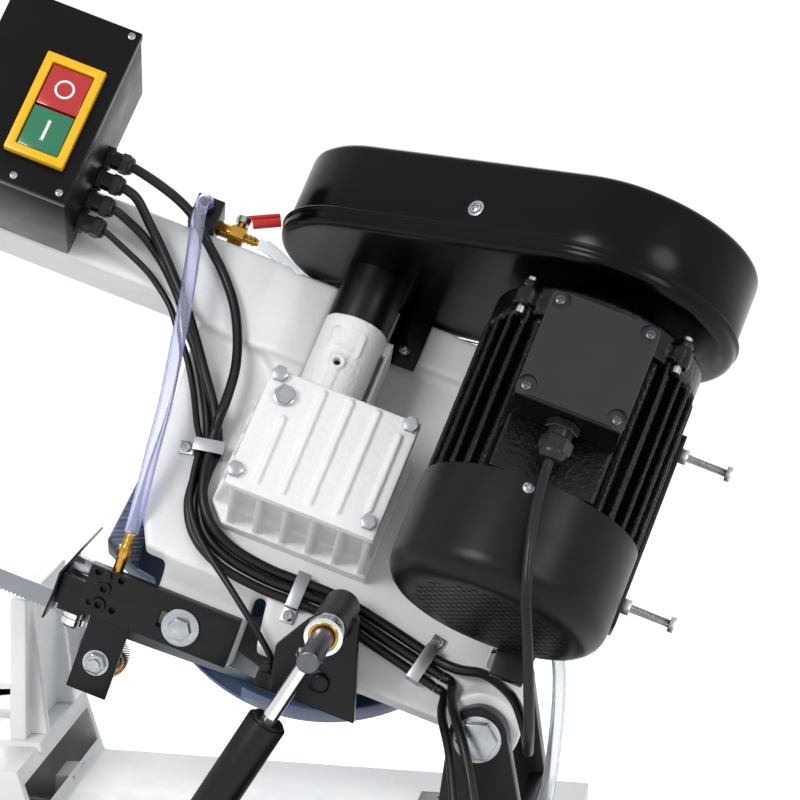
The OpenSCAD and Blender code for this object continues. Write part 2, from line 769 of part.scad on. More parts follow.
// fan cover with staggered rows of short slots in its end
module fan_cover() color("#232427") on_bow() {
  r = fan_cover_r;
  ring = [for (a = [0 : 15 : 90]) [r - 24 + 24 * cos(a), -68 - 24 * sin(a)]];
  inner = [for (a = [90 : -15 : 0])
    [r - 24 + 22 * cos(a), -68 - 22 * sin(a)]];
  row = 6.2;
  gap = 9;
  difference() {
    turn_z(-motor_x, motor_y, concat([[r, 5]], ring, [[0, -92], [0, -90]],
                                     inner, [[r - 2, 5]]));
    for (j = [-10 : 10]) for (i = [-8 : 8]) {
      x = (i + (abs(j) % 2) / 2) * gap;
      y = j * row;
      if (x * x + y * y < 66 * 66)
        block([-motor_x + x - 2.6, motor_y + y - 1.2, -94],
              [-motor_x + x + 2.6, motor_y + y + 1.2, -88]);
    }
  }
}

module terminal_box() color(machine_black) on_bow() difference() {
  block([term_x, term_y, 55], [term_x + term_w, term_y + 54, 149]);
  block([term_x + 3, term_y + 3, 58], [term_x + term_w - 3, term_y + 55, 146]);
  rod_z(-motor_x, term_y + 27, 50, 60, 8);
}

module terminal_lid() color("#3b3d41") on_bow() {
  y = term_y + 54;
  difference() {
    union() {
      block([term_x + 6, y, 54], [term_x + term_w - 6, y + 8, 150]);
      block([term_x - 1, y, 61], [term_x + term_w + 1, y + 8, 143]);
      for (x = [term_x + 6, term_x + term_w - 6]) for (z = [61, 143])
        rod_y(x, z, y, y + 8, 7);
    }
    for (x = [term_x + 7, term_x + term_w - 7]) for (z = [62, 142])
      rod_y(x, z, y + 4, y + 9, 4.6);
  }
}

module motor_plate() color(machine_black) on_bow() difference() {
  union() {
    plate_xz([[-290, 150], [-90, 150], [-90, -35], [-200, -35],
              [-204, -108], [-234, -108], [-240, -35], [-290, -35]], 46, 10);
    block([-290, 46, -35], [-284, 84, 150]);
  }
  for (z = [-12, 136]) rod_x(70, z, -292, -282, 4.2);
}

// every bolt and screw of the bow's drive side
module machine_screws() color(bright_zinc) on_bow() {
  for (p = [[59, 57], [-63, 57], [-61, -39], [62, -38]])
    hex_y(p[0], p[1], box_h, box_h + 5.5, 7.5);
  hex_y(48, 40, box_h + 3, box_h + 10, 10);
  rod_y(48, 40, box_h, box_h + 3, 11.5);
  for (z = [-12, 136]) {
    rod_x(70, z, -333, -262, 4);
    hex_x(70, z, -338, -333, 7.5);
    hex_x(70, z, -297, -290.3, 7.5);
    hex_x(70, z, -283.7, -277, 7.5);
  }
  for (a = [45 : 90 : 315])
    translate([-motor_x, motor_y, 0]) rotate([0, 0, a]) {
      rod_z(motor_r + 3, 0, 146, 180, 4);
      hex_z(motor_r + 3, 0, 170, 176, 7.5);
    }
  w = term_y + 58;
  for (x = [term_x + 7, term_x + term_w - 7]) for (z = [62, 142])
    pan_head(x, z, w, 4);
  rod_y(-25, 158, -8, 3.3, 2.9);
  pan_head(-25, 158, 3.3, 5);
  for (x = [box_x + 7, box_x + 50]) pan_head(x, box_z + 6, 132, 3);
  for (x = [box_x + 7, box_x + switch_w - 7])
    pan_head(x, box_z + switch_h - 6, 132, 3);
  for (i = [0 : 2]) let (c = clip_places[i], r = [20.5, 23.5, 24.5][i])
    pan_head(c[0] + r * sin(c[2]), c[1] + r * cos(c[2]), -7, 5);
  // big clamp bolt of the guide bracket with its washer
  y = 28.3 + bracket_t;
  rotate([-cant, 0, 0]) {
    rod_y(68, -148, 6, y + 4, 5);
    turn_y(68, -148, [[4, y], [17.3, y], [17.3, y + 3], [4, y + 3]]);
    hex_y(68, -148, y + 3, y + 11, 11);
  }
}

// ---- wheels, blade and guards ----

module band_wheel(x, hub_y) {
  r = wheel_r;
  f = -blade_v - rim_w / 2;
  difference() {
    turn_y(x, 0, [[shaft_r, f - 3], [32, f - 3], [32, f + 9], [r - 12, f + 9],
      [r - 12, f], [r, f], [r, f + rim_w - 2], [r + 3, f + rim_w - 2],
      [r + 3, f + rim_w], [r - 12, f + rim_w], [r - 12, f + 17],
      [34, f + 17], [34, hub_y], [shaft_r, hub_y]]);
    for (a = [0 : 60 : 300]) translate([x, 0, 0]) rotate([0, a, 0])
      rod_y(86, 0, -blade_v - 30, -blade_v + 30, 24);
  }
}

module drive_wheel() color("#6f7478") on_bow() {
  band_wheel(drive_x, -62);
  rod_y(drive_x, 0, -128, 92, shaft_r);
}

module idler_wheel() color("#6f7478") on_bow() difference() {
  union() {
    band_wheel(idler_x, -62);
    rod_y(idler_x, 0, -126, -100, shaft_r + 2);
  }
  rod_y(idler_x, 0, -120, -60, shaft_r + fit);
}

module tension_block() color("#4a4d51") on_bow() {
  difference() {
    union() {
      block([idler_x - 35, -60, -26.4], [idler_x + 35, -36.3, 26.4]);
      block([idler_x - 20, -37, -18], [idler_x + 20, -8, 18]);
    }
    rod_x(-48, 0, idler_x + 10, idler_x + 40, 8 + fit);
  }
  rod_y(idler_x, 0, -118, -59, shaft_r);
}

module tension_knob() color(machine_black) on_bow() {
  rod_x(-48, 0, idler_x + 18, 905, 8);
  rod_x(-48, 0, 850.3, 858, 11.5);
  translate([896, -48, 0]) rotate([0, 90, 0]) rotate_extrude()
    polygon([[7, -9], [16, -9], [16, -4], [42, -4], [48, 0], [48, 6],
             [42, 9], [16, 9], [7, 9]]);
}

// a station of the blade: middle of the band, its lean, gullet depth
function arc_stations(x, from, to) = [for (i = [0 : 30])
  let (a = from + (to - from) * i / 30)
  [x + blade_r * sin(a), blade_r * cos(a), [cos(a), -sin(a)], 0, 0]];
function turn_stations(x0, x1, from, to) = [for (i = [0 : 19])
  let (t = i / 20) [x0 + (x1 - x0) * t, -blade_r, [-1, 0],
                    from + (to - from) * t, 0]];
function tooth_stations(x0, x1) =
  let (n = floor((x0 - x1) / tooth_pitch))
  [for (i = [0 : n]) each [
    [x0 - i * tooth_pitch, -blade_r, [-1, 0], 90 - cant, 0],
    [x0 - (i + 0.35) * tooth_pitch, -blade_r, [-1, 0], 90 - cant, 2]]];

// endless band: round the idler, upright and toothed through the cut,
// back to lie flat on the drive wheel
module blade() color(bare_steel) on_bow() {
  stations = concat(arc_stations(idler_x, 0, 180),
    turn_stations(idler_x - 12, 500, 0, 90 - cant), tooth_stations(500, 152),
    turn_stations(150, drive_x, 90 - cant, 0),
    arc_stations(drive_x, 180, 360));
  n = len(stations);
  pts = [for (s = stations) let (
      out = [s[2][1], s[2][0]],
      lean = s[3],
      up = [s[0], s[1]],
      wide = blade_w / 2,
      thick = blade_t / 2,
      across = [0, cos(lean), lean == 0 ? 0 : sin(lean)],
      face = lean == 0 ? [-out[0], 0, out[1]] : [0, -sin(lean), cos(lean)],
      mid = [up[0], -blade_v, up[1]])
    each [mid - (wide - s[4]) * across - thick * face,
          mid + wide * across - thick * face,
          mid + wide * across + thick * face,
          mid - (wide - s[4]) * across + thick * face]];
  polyhedron(points = pts, faces = [for (i = [0 : n - 1]) for (j = [0 : 3])
    let (a = i * 4 + j, b = i * 4 + (j + 1) % 4,
         k = ((i + 1) % n) * 4)
    [a, b, k + (j + 1) % 4, k + j]], convexity = 10);
}

module top_guard() color(guard_blue) on_bow()
  plate_yz([[-132, 152], [-130, 152], [-130, 183], [-60, 183], [-60, 197],
            [-62, 197], [-62, 185], [-132, 185]], 200, 300);

module wheel_door(x, outline) {
  f = -134;
  difference() {
    translate([0, -92, 0]) rotate([90, 0, 0]) linear_extrude(44)
      door_shape(x, outline, 0);
    translate([0, -91, 0]) rotate([90, 0, 0]) linear_extrude(43)
      door_shape(x, outline, -2);
    // slots for the blade's two runs
    for (s = [1, -1]) block([x + (x > 300 ? -200 : 20), -130, s > 0 ? 114 : -176],
                            [x + (x > 300 ? -20 : 200), -91, s > 0 ? 164 : -134]);
  }
}

module door_shape(x, outline, grow) {
  translate([x, 0]) circle(r = guard_r + grow, $fn = 96);
  s = x > 300 ? -1 : 1;
  g = grow;
  polygon([[x, guard_r + g], [x + s * (165 + g), guard_r + g],
           [x + s * (178 + g), 60], [x + s * (186 + g), -84],
           [x + s * (150 + g), -100 - g], [x, -120]]);
}

module drive_door() color(guard_blue) on_bow() {
  wheel_door(drive_x, 0);
  block([-60, -94, 165], [80, -68, 167]);
  block([-60, -70, 165], [80, -66.5, 174]);
  rod_x(-64, 176, -72, 92, 3);
  rod_x(-64, 176, -61.7, 81.7, 3.8);
  rod_y(110, 0, -146, -136, 9);
}

module idler_door() color(guard_blue) on_bow() {
  wheel_door(idler_x, 0);
  block([574, -94, 165], [758, -68, 167]);
  block([574, -70, 165], [758, -66.5, 174]);
  rod_x(-64, 176, 560, 772, 3);
  rod_x(-64, 176, 570.3, 761.7, 3.8);
  rod_y(560, 0, -146, -136, 9);
}

// ---- guides ----

module guide_bracket() color(machine_black) on_level() {
  y = 28.3;
  difference() {
    block([162 - bracket_l, y, -169], [162, y + bracket_t, -169 + bracket_h]);
    block([54, y - 1, -156], [90, y + bracket_t + 1, -140]);
    for (p = [[154, -128.4], [132, -128.4], [153.4, -157.5], [131.3, -157.5]])
      rod_y(p[0], p[1], y + 6, y + bracket_t + 1, 3.2);
    for (z = [-140.5, -156.5])
      rod_y(144.5, z, y + bracket_t - 4, y + bracket_t + 1, 6.6);
    rod_y(68, -148, y - 1, y + bracket_t + 1, 5.1);
  }
  for (z = [-140.5, -156.5]) difference() {
    rod_y(144.5, z, y + bracket_t - 5, y + bracket_t + 3, 6.2);
    rod_y(144.5, z, y + bracket_t - 2, y + bracket_t + 4, 3.4);
  }
  hex_y(145.3, -129.7, y + bracket_t - 0.5, y + bracket_t + 5, 5.5);
  // holder with its hard pads, over and beside the blade
  difference() {
    union() {
      block([150, -30, -171], [184, y + 8, -143]);
      block([157, -30, -176], [180, y + 8, -168]);
    }
    block([140, guide_y - 6, -180], [190, guide_y + 6, tooth_q + blade_w + 0.4]);
  }
  // bent chip shield past the holder
  plate_xz([[173, -112], [175.5, -112], [187, -141], [187, -161],
            [189, -187], [187, -187], [185, -161], [185, -141.4]], 1, 43);
  plate_xz([[173, -112], [175.5, -112], [187, -141], [187, -161],
            [185, -161], [185, -141.4]], -34, 36);
  block([180, 4, -162], [186, 24, -146]);
  // hanger of the wire brush
  difference() {
    block([112, y - 6, -245], [150, y - 2, -165]);
    rod_y(131, -214, y - 8, y, 6.1);
  }
  block([114, y - 6, -171], [148, y + 2, -163]);
  for (s = [1, -1]) {
    y2 = guide_y + s * (blade_t / 2 + roller_r + 0.05);
    rod_z(guide_x, y2, -199, -170, 4);
    rod_z(guide_x, y2, -199, -196.3, 6.5);
    rod_z(guide_x, y2, -181.7, -175, 6.5);
  }
  hex_x(18, -136, 162, 180, 7);
}

module guide_roller(y) {
  difference() {
    rod_z(guide_x, y, -196, -182, roller_r);
    rod_z(guide_x, y, -197, -181, 4 + fit);
  }
}

module guide_roller_rear() color(bare_steel) on_level()
  guide_roller(guide_y + blade_t / 2 + roller_r + 0.05);

module guide_roller_front() color(bare_steel) on_level()
  guide_roller(guide_y - blade_t / 2 - roller_r - 0.05);

// wire wheel: a disc hub with straight wires in four staggered rows
module wire_brush() color(yellow_bronze) on_level() {
  rod_y(131, -214, -9, 36, 6);
  rod_y(131, -214, -8.4, 3, 11);
  for (j = [0 : 3]) for (i = [0 : 79])
    translate([131, -7.7 + j * 3, -214]) rotate([0, (i + (j % 2) / 2) * 4.5, 0])
      rotate([j % 2 == 0 ? 2 : -2, 0, 0])
        translate([0, 0, 10]) cylinder(r = 0.32, h = brush_r - 10, $fn = 3);
}

module guide_arm() color(machine_black) on_level() difference() {
  union() {
    rotate([cant, 0, 0]) {
      block([434, -66, 106], [470, 6, 125.7]);
      block([434, 0.3, 106], [470, 8, 190]);
    }
    plate_yz([[-106, 64], [-62, 96], [-44, 82], [40, -52], [40, -169],
              [28, -169], [24, -64], [-56, 40], [-98, 50]], 436, 28);
    block([430, -30, -174], [466, 34, -150]);
  }
  block([429, guide_y - 0.55, -200], [467, guide_y + 0.55,
                                      tooth_q + blade_w + 0.4]);
}

// ---- electrics ----

module switch_box() color(machine_black) on_bow() {
  difference() {
    block([box_x, 6, box_z], [box_x + switch_w, 6 + switch_d, box_z + switch_h]);
    block([box_x + 3, 9, box_z + 3],
          [box_x + switch_w - 3, 7 + switch_d, box_z + switch_h - 3]);
    for (z = [150, 172, 195, 217]) rod_x(32, z, box_x - 1, box_x + 4, 6);
  }
  block([box_x + 10, 0.2, box_z + 3], [box_x + switch_w - 10, 7, box_z + 60]);
}

module switch_lid() color("#3b3d41") on_bow() difference() {
  block([box_x - 1, 120, box_z - 1],
        [box_x + switch_w + 1, 132, box_z + switch_h + 1]);
  block([box_x + 18, 119, 156], [box_x + 62, 133, 244]);
}

module switch_frame() color("#f2b51c") on_bow() difference() {
  block([box_x + 12, 132, 150], [box_x + 68, 141, 250]);
  block([box_x + 20, 131, 158], [box_x + 60, 142, 242]);
}

module push_button(z0, z1) {
  block([box_x + 21, 118, z0], [box_x + 59, 138, z1]);
}

module start_button() color("#14794a") on_bow() {
  push_button(159, 199);
  block([box_x + 38.5, 138, 169], [box_x + 41.5, 138.6, 189]);
}

module stop_button() color("#c3211d") on_bow() {
  push_button(201, 241);
  difference() {
    rod_y(box_x + 40, 221, 137, 138.6, 9);
    rod_y(box_x + 40, 221, 136, 139, 7);
  }
}

module gland_x(y, z, x) {
  hex_x(y, z, x - 6, x, 11);
  rod_x(y, z, x - 14, x - 6, 8.5);
  hex_x(y, z, x - 22, x - 14, 9.6);
  rod_x(y, z, x - 26, x - 22, 7);
}

module cable_glands() color(machine_black) on_bow() {
  for (z = [150, 172, 195, 217]) difference() {
    gland_x(32, z, box_x);
    rod_x(32, z, box_x - 30, box_x - 20, 5.7);
  }
  difference() {
    union() {
      hex_z(-motor_x, term_y + 27, 47, 55, 14);
      rod_z(-motor_x, term_y + 27, 40, 47, 11);
      hex_z(-motor_x, term_y + 27, 28, 40, 13);
      turn_z(-motor_x, term_y + 27, [[0, 20], [7, 20], [11, 24], [11, 28],
                                     [0, 28]]);
    }
    rod_z(-motor_x, term_y + 27, 19, 30, 5.7);
  }
}

motor_lead_route = [[270, 32, 217], [262, 31.4, 216.6], [242, 26, 214],
  [222, 20, 210], [205, 18, 203], [190, 16, 193], [176, 11, 181],
  [154, 7, 162], [134, 7.5, 138], [119, 9, 110], [109, 11, 81],
  [105, 11.5, 51], [104.5, 10.5, 32], [103.5, 5.8, 19], [101.5, 4.2, 4],
  [97, 4.2, -22], [88, 4.2, -45], [71, 3, -63], [46, -1, -73.5],
  [12, -5, -77.5], [-20, -5, -77.5], [-55, -5, -78], [-96, -5, -85],
  [-133, -5, -93], [-160, -4, -99], [-178, 2, -101], [-198, 14, -100],
  [-216, 32, -108], [-234, 56, -124], [-248, 84, -148], [-257, 118, -172],
  [-258, 152, -184], [-252, 188, -176], [-240, 220, -154],
  [-225, 244, -124], [-210, 261, -92], [-200, 268, -60], [-193, 268, -30],
  [-189, 266, 0], [-188, 265, 12], [-188, 265, 29.3]];
mains_route_bow = [[270, 32, 195], [262, 31.4, 194.6], [250, 27, 191],
  [232, 20, 176], [211, 16, 157], [190, 14, 136], [171, 12.5, 116],
  [152, 10, 92], [133, 7, 67], [114.5, 3, 43], [108, 1, 32],
  [100.5, -3, 19], [96, -5.2, 4], [96, -5.2, -19], [91, -5.2, -45],
  [76, -5.2, -68], [50, -5.2, -81.5], [14, -5.2, -87], [-20, -5.2, -87],
  [-55, -5.2, -88], [-97, -5.2, -96], [-133, -5.2, -103.5],
  [-165, -5.1, -110.3]];
pump_route_bow = [[270, 32, 172], [261, 31, 171.6], [236, 15, 166],
  [215, 6, 155], [198, 4.8, 141], [180, 4.6, 122], [165, 0, 103],
  [147, -4, 83], [130, -5.6, 57], [113, -5.6, 25], [106.8, -5.6, 4],
  [105.5, -5.6, -21], [100.8, -5.6, -50], [84, -5.6, -75],
  [54.5, -5.6, -91], [14, -5.6, -97], [-20, -5.6, -97], [-55, -5.6, -98],
  [-96, -5.6, -106.5], [-132, -5.6, -114.5], [-163, -5.4, -122]];
switch_route_bow = [[270, 32, 150], [262, 30, 149], [242, 20, 144],
  [222, 11, 138], [208, 6, 131], [187, 4, 115], [172, 1, 97],
  [154.5, -3, 77], [138, -5, 52], [122, -1, 22], [111.6, 2.4, 4],
  [107, 2.4, -21], [99.5, 2.6, -49], [85, 3, -70], [65, 4, -88],
  [33, 8, -112], [1, 6, -136], [-18, -2, -150], [-25.6, -10.9, -157.9]];

module bow_cables() color("#17181a") on_bow() {
  tube(motor_lead_route, lead_r, 2);
  tube(mains_route_bow, lead_r, 2);
  tube(pump_route_bow, lead_r - 0.4, 2);
  tube(switch_route_bow, 3, 2);
}

// saddle over the bundle with a screw tab to one side
module clip(p, half, tall) {
  translate([p[0], -10, p[1]]) rotate([0, p[2], 0]) {
    difference() {
      translate([-6, 0, -half]) cube([12, tall, half * 2]);
      translate([-7, -1, 1.5 - half]) cube([14, tall - 0.5, half * 2 - 3]);
    }
    translate([-6, 0, half - 1.5]) cube([12, 3, 14]);
  }
}

clip_places = [[103, 4, 101], [-20, -87, 180], [-146, -107, -12]];

module cable_clips() color("#c9ccd0") on_bow() {
  clip(clip_places[0], 14, 20.6);
  clip(clip_places[1], 17, 11.2);
  clip(clip_places[2], 18, 11.9);
}

mains_pivot_route = [[-187.3, 78, 703.5], [-193, 104, 697],
  [-202, 126, 686], [-214, 146, 655], [-224, 168, 612],
  [-232, 196, 562], [-240, 222, 522], [-249, 244, 494], [-252, 249, 468],
  [-252, 249, 440]];
pump_pivot_route = [[-179.7, 84, 693.4], [-184.7, 106, 683.2],
  [-192.8, 124, 669.9], [-200, 146, 640], [-208, 170, 600],
  [-217, 198, 554], [-227, 224, 518], [-236, 244, 494], [-239, 249, 468],
  [-239, 249, 440], [-238, 250, 420], [-234, 248, 397], [-215, 238, 377],
  [-180, 205, 363], [-145, 140, 362], [-122, 60, 362], [-110, 18, 362],
  [-98, 2, 362], [-84, 0, 362]];

module pivot_leads() color("#17181a") in_frame() {
  tube(concat([bow_pt([-166.4, -5.1, -110.6]), bow_pt([-178, -3.4, -112.6])],
              mains_pivot_route), lead_r, 3);
  tube(concat([bow_pt([-164.4, -5.4, -122.3]), bow_pt([-175.5, -3.6, -124.6])],
              pump_pivot_route), lead_r - 0.4, 3);
}

mains_route = [[-252, 249.1, 439.4], [-252, 250, 400], [-251, 252, 300],
  [-250, 254, 200], [-249, 256, 110], [-246, 258, 50], [-236, 258, 18],
  [-212, 256, 6], [-176, 248, 4.7], [-120, 222, 4.7], [-50, 184, 4.7],
  [30, 150, 4.7], [110, 124, 4.7], [190, 100, 4.7], [262, 66, 4.7],
  [306, 16, 4.7], [308, -40, 4.7], [268, -80, 4.7], [200, -92, 4.7],
  [120, -76, 4.7], [50, -44, 4.7], [-20, -8, 4.7], [-80, 22, 4.7],
  [-120, 36, 5], [-138, 42, 8], [-150, 46, 8]];

module mains_lead() color("#17181a") in_frame()
  tube(mains_route, lead_r, 2);

module mains_plug() color("#232427") in_frame()
  translate([-150, 46, 0]) rotate([0, 0, 161]) {
    difference() {
      union() {
        translate([0, -14, 0]) cube([46, 28, 30]);
        rod_x(0, 15, 46, 52, 15);
        rod_x(0, 8, 0.9, 6, 7.9);
      }
      rod_x(0, 15, 47, 53, 12.4);
    }
    for (y = [-9.5, 9.5]) rod_x(y, 15, 46, 66, 2.4);
  }

// ---- coolant ----

module hose_block() color(machine_black) on_bow() {
  block([178, -28, 197.2], [204, 12, 226]);
  rod_y(192, 214, 10, 20, 8);
}

module brass_fittings() color(yellow_bronze) on_bow() {
  rod_x(-12, 209, 164, 178, 7);
  hex_x(-12, 209, 152, 166, 10);
  rod_z(159, -12, 216, 224, 4);
  for (x = [140, 144, 148]) translate([x, -12, 209]) rotate([0, 90, 0])
    cylinder(r1 = 3.6, r2 = 5, h = 4);
  rod_x(-12, 209, 138, 153, 3.4);
  // barbed nozzle in the top of the guide bracket
  rotate([-cant, 0, 0]) {
    for (z = [-89, -94, -99]) translate([139, 34, z])
      cylinder(r1 = 5, r2 = 3.6, h = 4.8);
    rod_z(139, 34, -123, -84.2, 3.2);
    hex_z(139, 34, -108, -99, 7);
    rod_z(139, 34, -123, -108, 5);
  }
}

module valve_lever() color("#c6221c") on_bow() difference() {
  union() {
    translate([159, -12, 224]) rotate([0, 28, 0])
      translate([-34, -5, 0]) cube([40, 10, 3]);
    rod_z(159, -12, 221, 227, 6.5);
    translate([159, -12, 224]) rotate([0, 28, 0])
      translate([-34, 0, -3.5]) rotate([0, 90, 0]) cylinder(r = 5, h = 26);
  }
  rod_z(159, -12, 214, 230, 4 + fit);
}

hose_route = [[192, 21.6, 214], [192.2, 27, 214.6], [194, 34, 211],
  [193, 37, 200], [188, 38, 180], [180, 37, 150], [170, 36, 110],
  [163, 35, 76], [156, 34, 44], [150, 30, 12], [146, 24, -22],
  [142, 12, -50], [140, 0, -70], [139.5, -9, -79.5], [139, -17.7, -88.9]];
supply_route_bow = [[136.9, -12, 209], [128, -12, 209], [114, -22, 206],
  [100, -34, 204], [84, -45, 201], [60, -50, 199.3], [20, -51, 199.2],
  [-60, -51, 198.4], [-140, -51, 198.4], [-165, -50, 195], [-192, -50, 177],
  [-208, -50, 145], [-214, -50, 100], [-216, -50, 50], [-218, -50, 0],
  [-224, -40, -48]];
supply_route_stand = [[-278, 54, 758], [-286, 116, 712], [-284, 168, 650],
  [-276, 206, 600], [-258, 240, 548], [-236, 258, 500], [-218, 262, 455],
  [-206, 258, 415], [-190, 244, 385], [-165, 215, 355], [-130, 180, 332],
  [-90, 145, 322], [-50, 112, 318], [-22, 92, 318], [-10, 78, 318],
  [-10, 66.8, 318]];

module coolant_hose() color("#8fb4e8") on_bow()
  tube(hose_route, hose_r, 3, 10);

module supply_hose() color("#aeb4b8") in_frame()
  tube(concat([for (p = supply_route_bow) bow_pt(p)], supply_route_stand),
       hose_r - 0.5, 2, 8);

// ---- feed cylinder ----

function pin_pt() = swing_pt([pin_x, eye_y, pin_z]);
function foot_pt() = pin_pt() + cylinder_gap
  * [sin(cylinder_lean), 0, -cos(cylinder_lean)];

module cylinder_arm() color(machine_black) on_level() {
  union() {
    plate_xz([[-82, -60], [-102, -124], [-110, -150], [-30, -150],
              [-22, -109], [-40, -78], [-56, -60]], 92, 12);
    rod_y(pin_x, pin_z, 62, eye_y - 9.3, 17);
    rod_y(pin_x, pin_z, 100, eye_y + 86, 10);
    rod_y(-70, -125, 78, 93, 11);
    rod_y(-70, -125, 104, 110, 8);
    block([-40, 62, -156], [-14, 92.5, -140]);
  }
}

module along_cylinder() {
  in_frame() translate(pin_pt()) rotate([0, 180 - cylinder_lean, 0])
    children();
}

module cylinder_rod() color(bright_zinc) along_cylinder() {
  difference() {
    union() {
      rotate([90, 0, 0]) translate([0, 0, -9]) cylinder(r = 17, h = 18);
      rod_z(0, 0, 12, 30, 8.6);
      hex_z(0, 0, 22, 30, 12);
      rod_z(0, 0, 28, cylinder_gap - 95, rod_r);
    }
    rotate([90, 0, 0]) translate([0, 0, -10])
      cylinder(r = 10 + fit, h = 20);
  }
}

module cylinder_body() color(machine_black) along_cylinder() {
  far = cylinder_gap;
  difference() {
    union() {
      rod_z(0, 0, far - 205, far - 20, barrel_r);
      rod_z(0, 0, far - 208, far - 190, barrel_r - 3);
      rotate([90, 0, 0]) translate([0, far, -16]) cylinder(r = 16, h = 32);
      block([-10, -14, far - 30], [10, 14, far]);
      rotate([90, 0, 0]) translate([0, far, -42]) cylinder(r = 6.5, h = 84);
      for (y = [-42, 34]) translate([0, y, far]) rotate([-90, 0, 0])
        cylinder(r = 29, h = 8);
      rod_x(0, far - 60, barrel_r - 3, barrel_r + 22, 9);
    }
    rod_z(0, 0, far - 210, far - 40, rod_r + fit);
  }
}

stand_frame();
chip_tray();
bed();
fixed_jaw();
pivot_bracket();
pivot_shaft();
coolant_tank();
coolant_pump();
work_stop();
vise_screw();
vise_handwheel();
movable_jaw();
mains_lead();
mains_plug();
pivot_leads();
bow_casting();
gearbox_housing();
gearbox_cover();
belt_pan();
belt_cover();
worm_shaft();
motor_rotor();
motor_fan();
drive_belt();
worm_wheel();
drive_wheel();
idler_wheel();
tension_block();
tension_knob();
blade();
top_guard();
drive_door();
idler_door();
motor_housing();
fan_cover();
terminal_box();
terminal_lid();
motor_plate();
machine_screws();
switch_box();
switch_lid();
switch_frame();
start_button();
stop_button();
cable_glands();
bow_cables();
cable_clips();
brass_fittings();
valve_lever();
hose_block();
coolant_hose();
supply_hose();
guide_bracket();
guide_roller_rear();
guide_roller_front();
wire_brush();
guide_arm();
cylinder_arm();
cylinder_body();
cylinder_rod();
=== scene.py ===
import json
import math

import bmesh
import bpy
from mathutils import Matrix, Vector, noise


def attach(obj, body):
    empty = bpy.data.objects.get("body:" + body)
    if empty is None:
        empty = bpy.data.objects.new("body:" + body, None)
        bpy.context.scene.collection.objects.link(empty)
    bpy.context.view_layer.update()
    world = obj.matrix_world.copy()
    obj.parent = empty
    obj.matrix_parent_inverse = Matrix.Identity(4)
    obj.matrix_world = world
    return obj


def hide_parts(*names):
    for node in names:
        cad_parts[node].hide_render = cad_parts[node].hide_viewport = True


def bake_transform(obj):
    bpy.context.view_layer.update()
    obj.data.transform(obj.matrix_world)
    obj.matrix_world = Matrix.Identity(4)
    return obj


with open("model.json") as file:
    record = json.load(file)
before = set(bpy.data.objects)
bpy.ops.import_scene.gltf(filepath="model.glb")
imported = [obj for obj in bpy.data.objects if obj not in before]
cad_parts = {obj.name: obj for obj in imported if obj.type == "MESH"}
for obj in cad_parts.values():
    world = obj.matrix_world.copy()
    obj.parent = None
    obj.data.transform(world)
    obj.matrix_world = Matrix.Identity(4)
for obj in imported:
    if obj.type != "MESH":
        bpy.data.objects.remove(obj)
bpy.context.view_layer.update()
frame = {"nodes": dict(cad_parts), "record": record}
nodeBody = {n: b for b, ns in frame["record"]["behaviour"]["bodies"].items() for n in ns}
print("frame loaded:", len(frame["nodes"]), "nodes")

# the machine's axes, the bow's level axes and the wheel plane's axes, in metres
bowPlace = {"raise": 18.6, "cant": 33.3, "pivot": (-0.41274, 0.03171, 0.67289),
            "hub": (0.215, 0, 0.120)}
machineSpace = Matrix.Translation((-0.19774, 0.03171, 0))
levelSpace = (Matrix.Translation(bowPlace["pivot"])
              @ Matrix.Rotation(math.radians(-bowPlace["raise"]), 4, "Y")
              @ Matrix.Translation(bowPlace["hub"]))
bowSpace = levelSpace @ Matrix.Rotation(math.radians(bowPlace["cant"]), 4, "X")
millimetre = Matrix.Scale(0.001, 4)


def toRow(space, point):
    return space @ (Vector(point) * 0.001)


# the camera, at the photograph's viewing angle

lookout = {"yaw": 8.148, "pitch": -12.309, "roll": -1.409, "pixels": 3300,
           "distance": 2.946, "target": (-0.24725, 0.03171, 0.8552), "seen": (314, 495)}


def makeCamera():
    ahead, right, up = Vector((0, -1, 0)), Vector((-1, 0, 0)), Vector((0, 0, 1))
    for axis, angle in (("up", lookout["yaw"]), ("right", lookout["pitch"]),
                        ("ahead", lookout["roll"])):
        turn = Matrix.Rotation(math.radians(angle), 3,
                               {"up": Vector((0, 0, 1)), "right": right, "ahead": ahead}[axis])
        ahead, right, up = turn @ ahead, turn @ right, turn @ up
    far = lookout["distance"]
    across = (lookout["seen"][0] - 400) / lookout["pixels"] * far
    down = (lookout["seen"][1] - 400) / lookout["pixels"] * far
    spot = Vector(lookout["target"]) - (across * right - down * up + far * ahead)
    data = bpy.data.cameras.new("camera")
    data.sensor_width = 36
    data.lens = lookout["pixels"] * 36 / 800
    data.clip_end = 40
    camera = bpy.data.objects.new("camera", data)
    camera.matrix_world = Matrix.Translation(spot) @ Matrix(
        (right, up, -ahead)).transposed().to_4x4()
    bpy.context.scene.collection.objects.link(camera)
    bpy.context.scene.camera = camera
    bpy.context.scene.view_settings.view_transform = "Standard"


makeCamera()
print("camera placed")

# materials: colours in sRGB, pattern sizes in mm


def hexColour(text):
    parts = [int(text[i:i + 2], 16) / 255 for i in (1, 3, 5)]
    return [c / 12.92 if c <= 0.04045 else ((c + 0.055) / 1.055) ** 2.4 for c in parts] + [1]


def addNode(tree, kind, inputs=None, **settings):
    node = tree.nodes.new(kind)
    for key, value in settings.items():
        setattr(node, key, value)
    for key, value in (inputs or {}).items():
        if isinstance(value, bpy.types.NodeSocket):
            tree.links.new(value, node.inputs[key])
        else:
            node.inputs[key].default_value = value
    return node


def newMaterial(name):
    material = bpy.data.materials.new(name)
    material.use_nodes = True
    return material, material.node_tree, material.node_tree.nodes["Principled BSDF"]


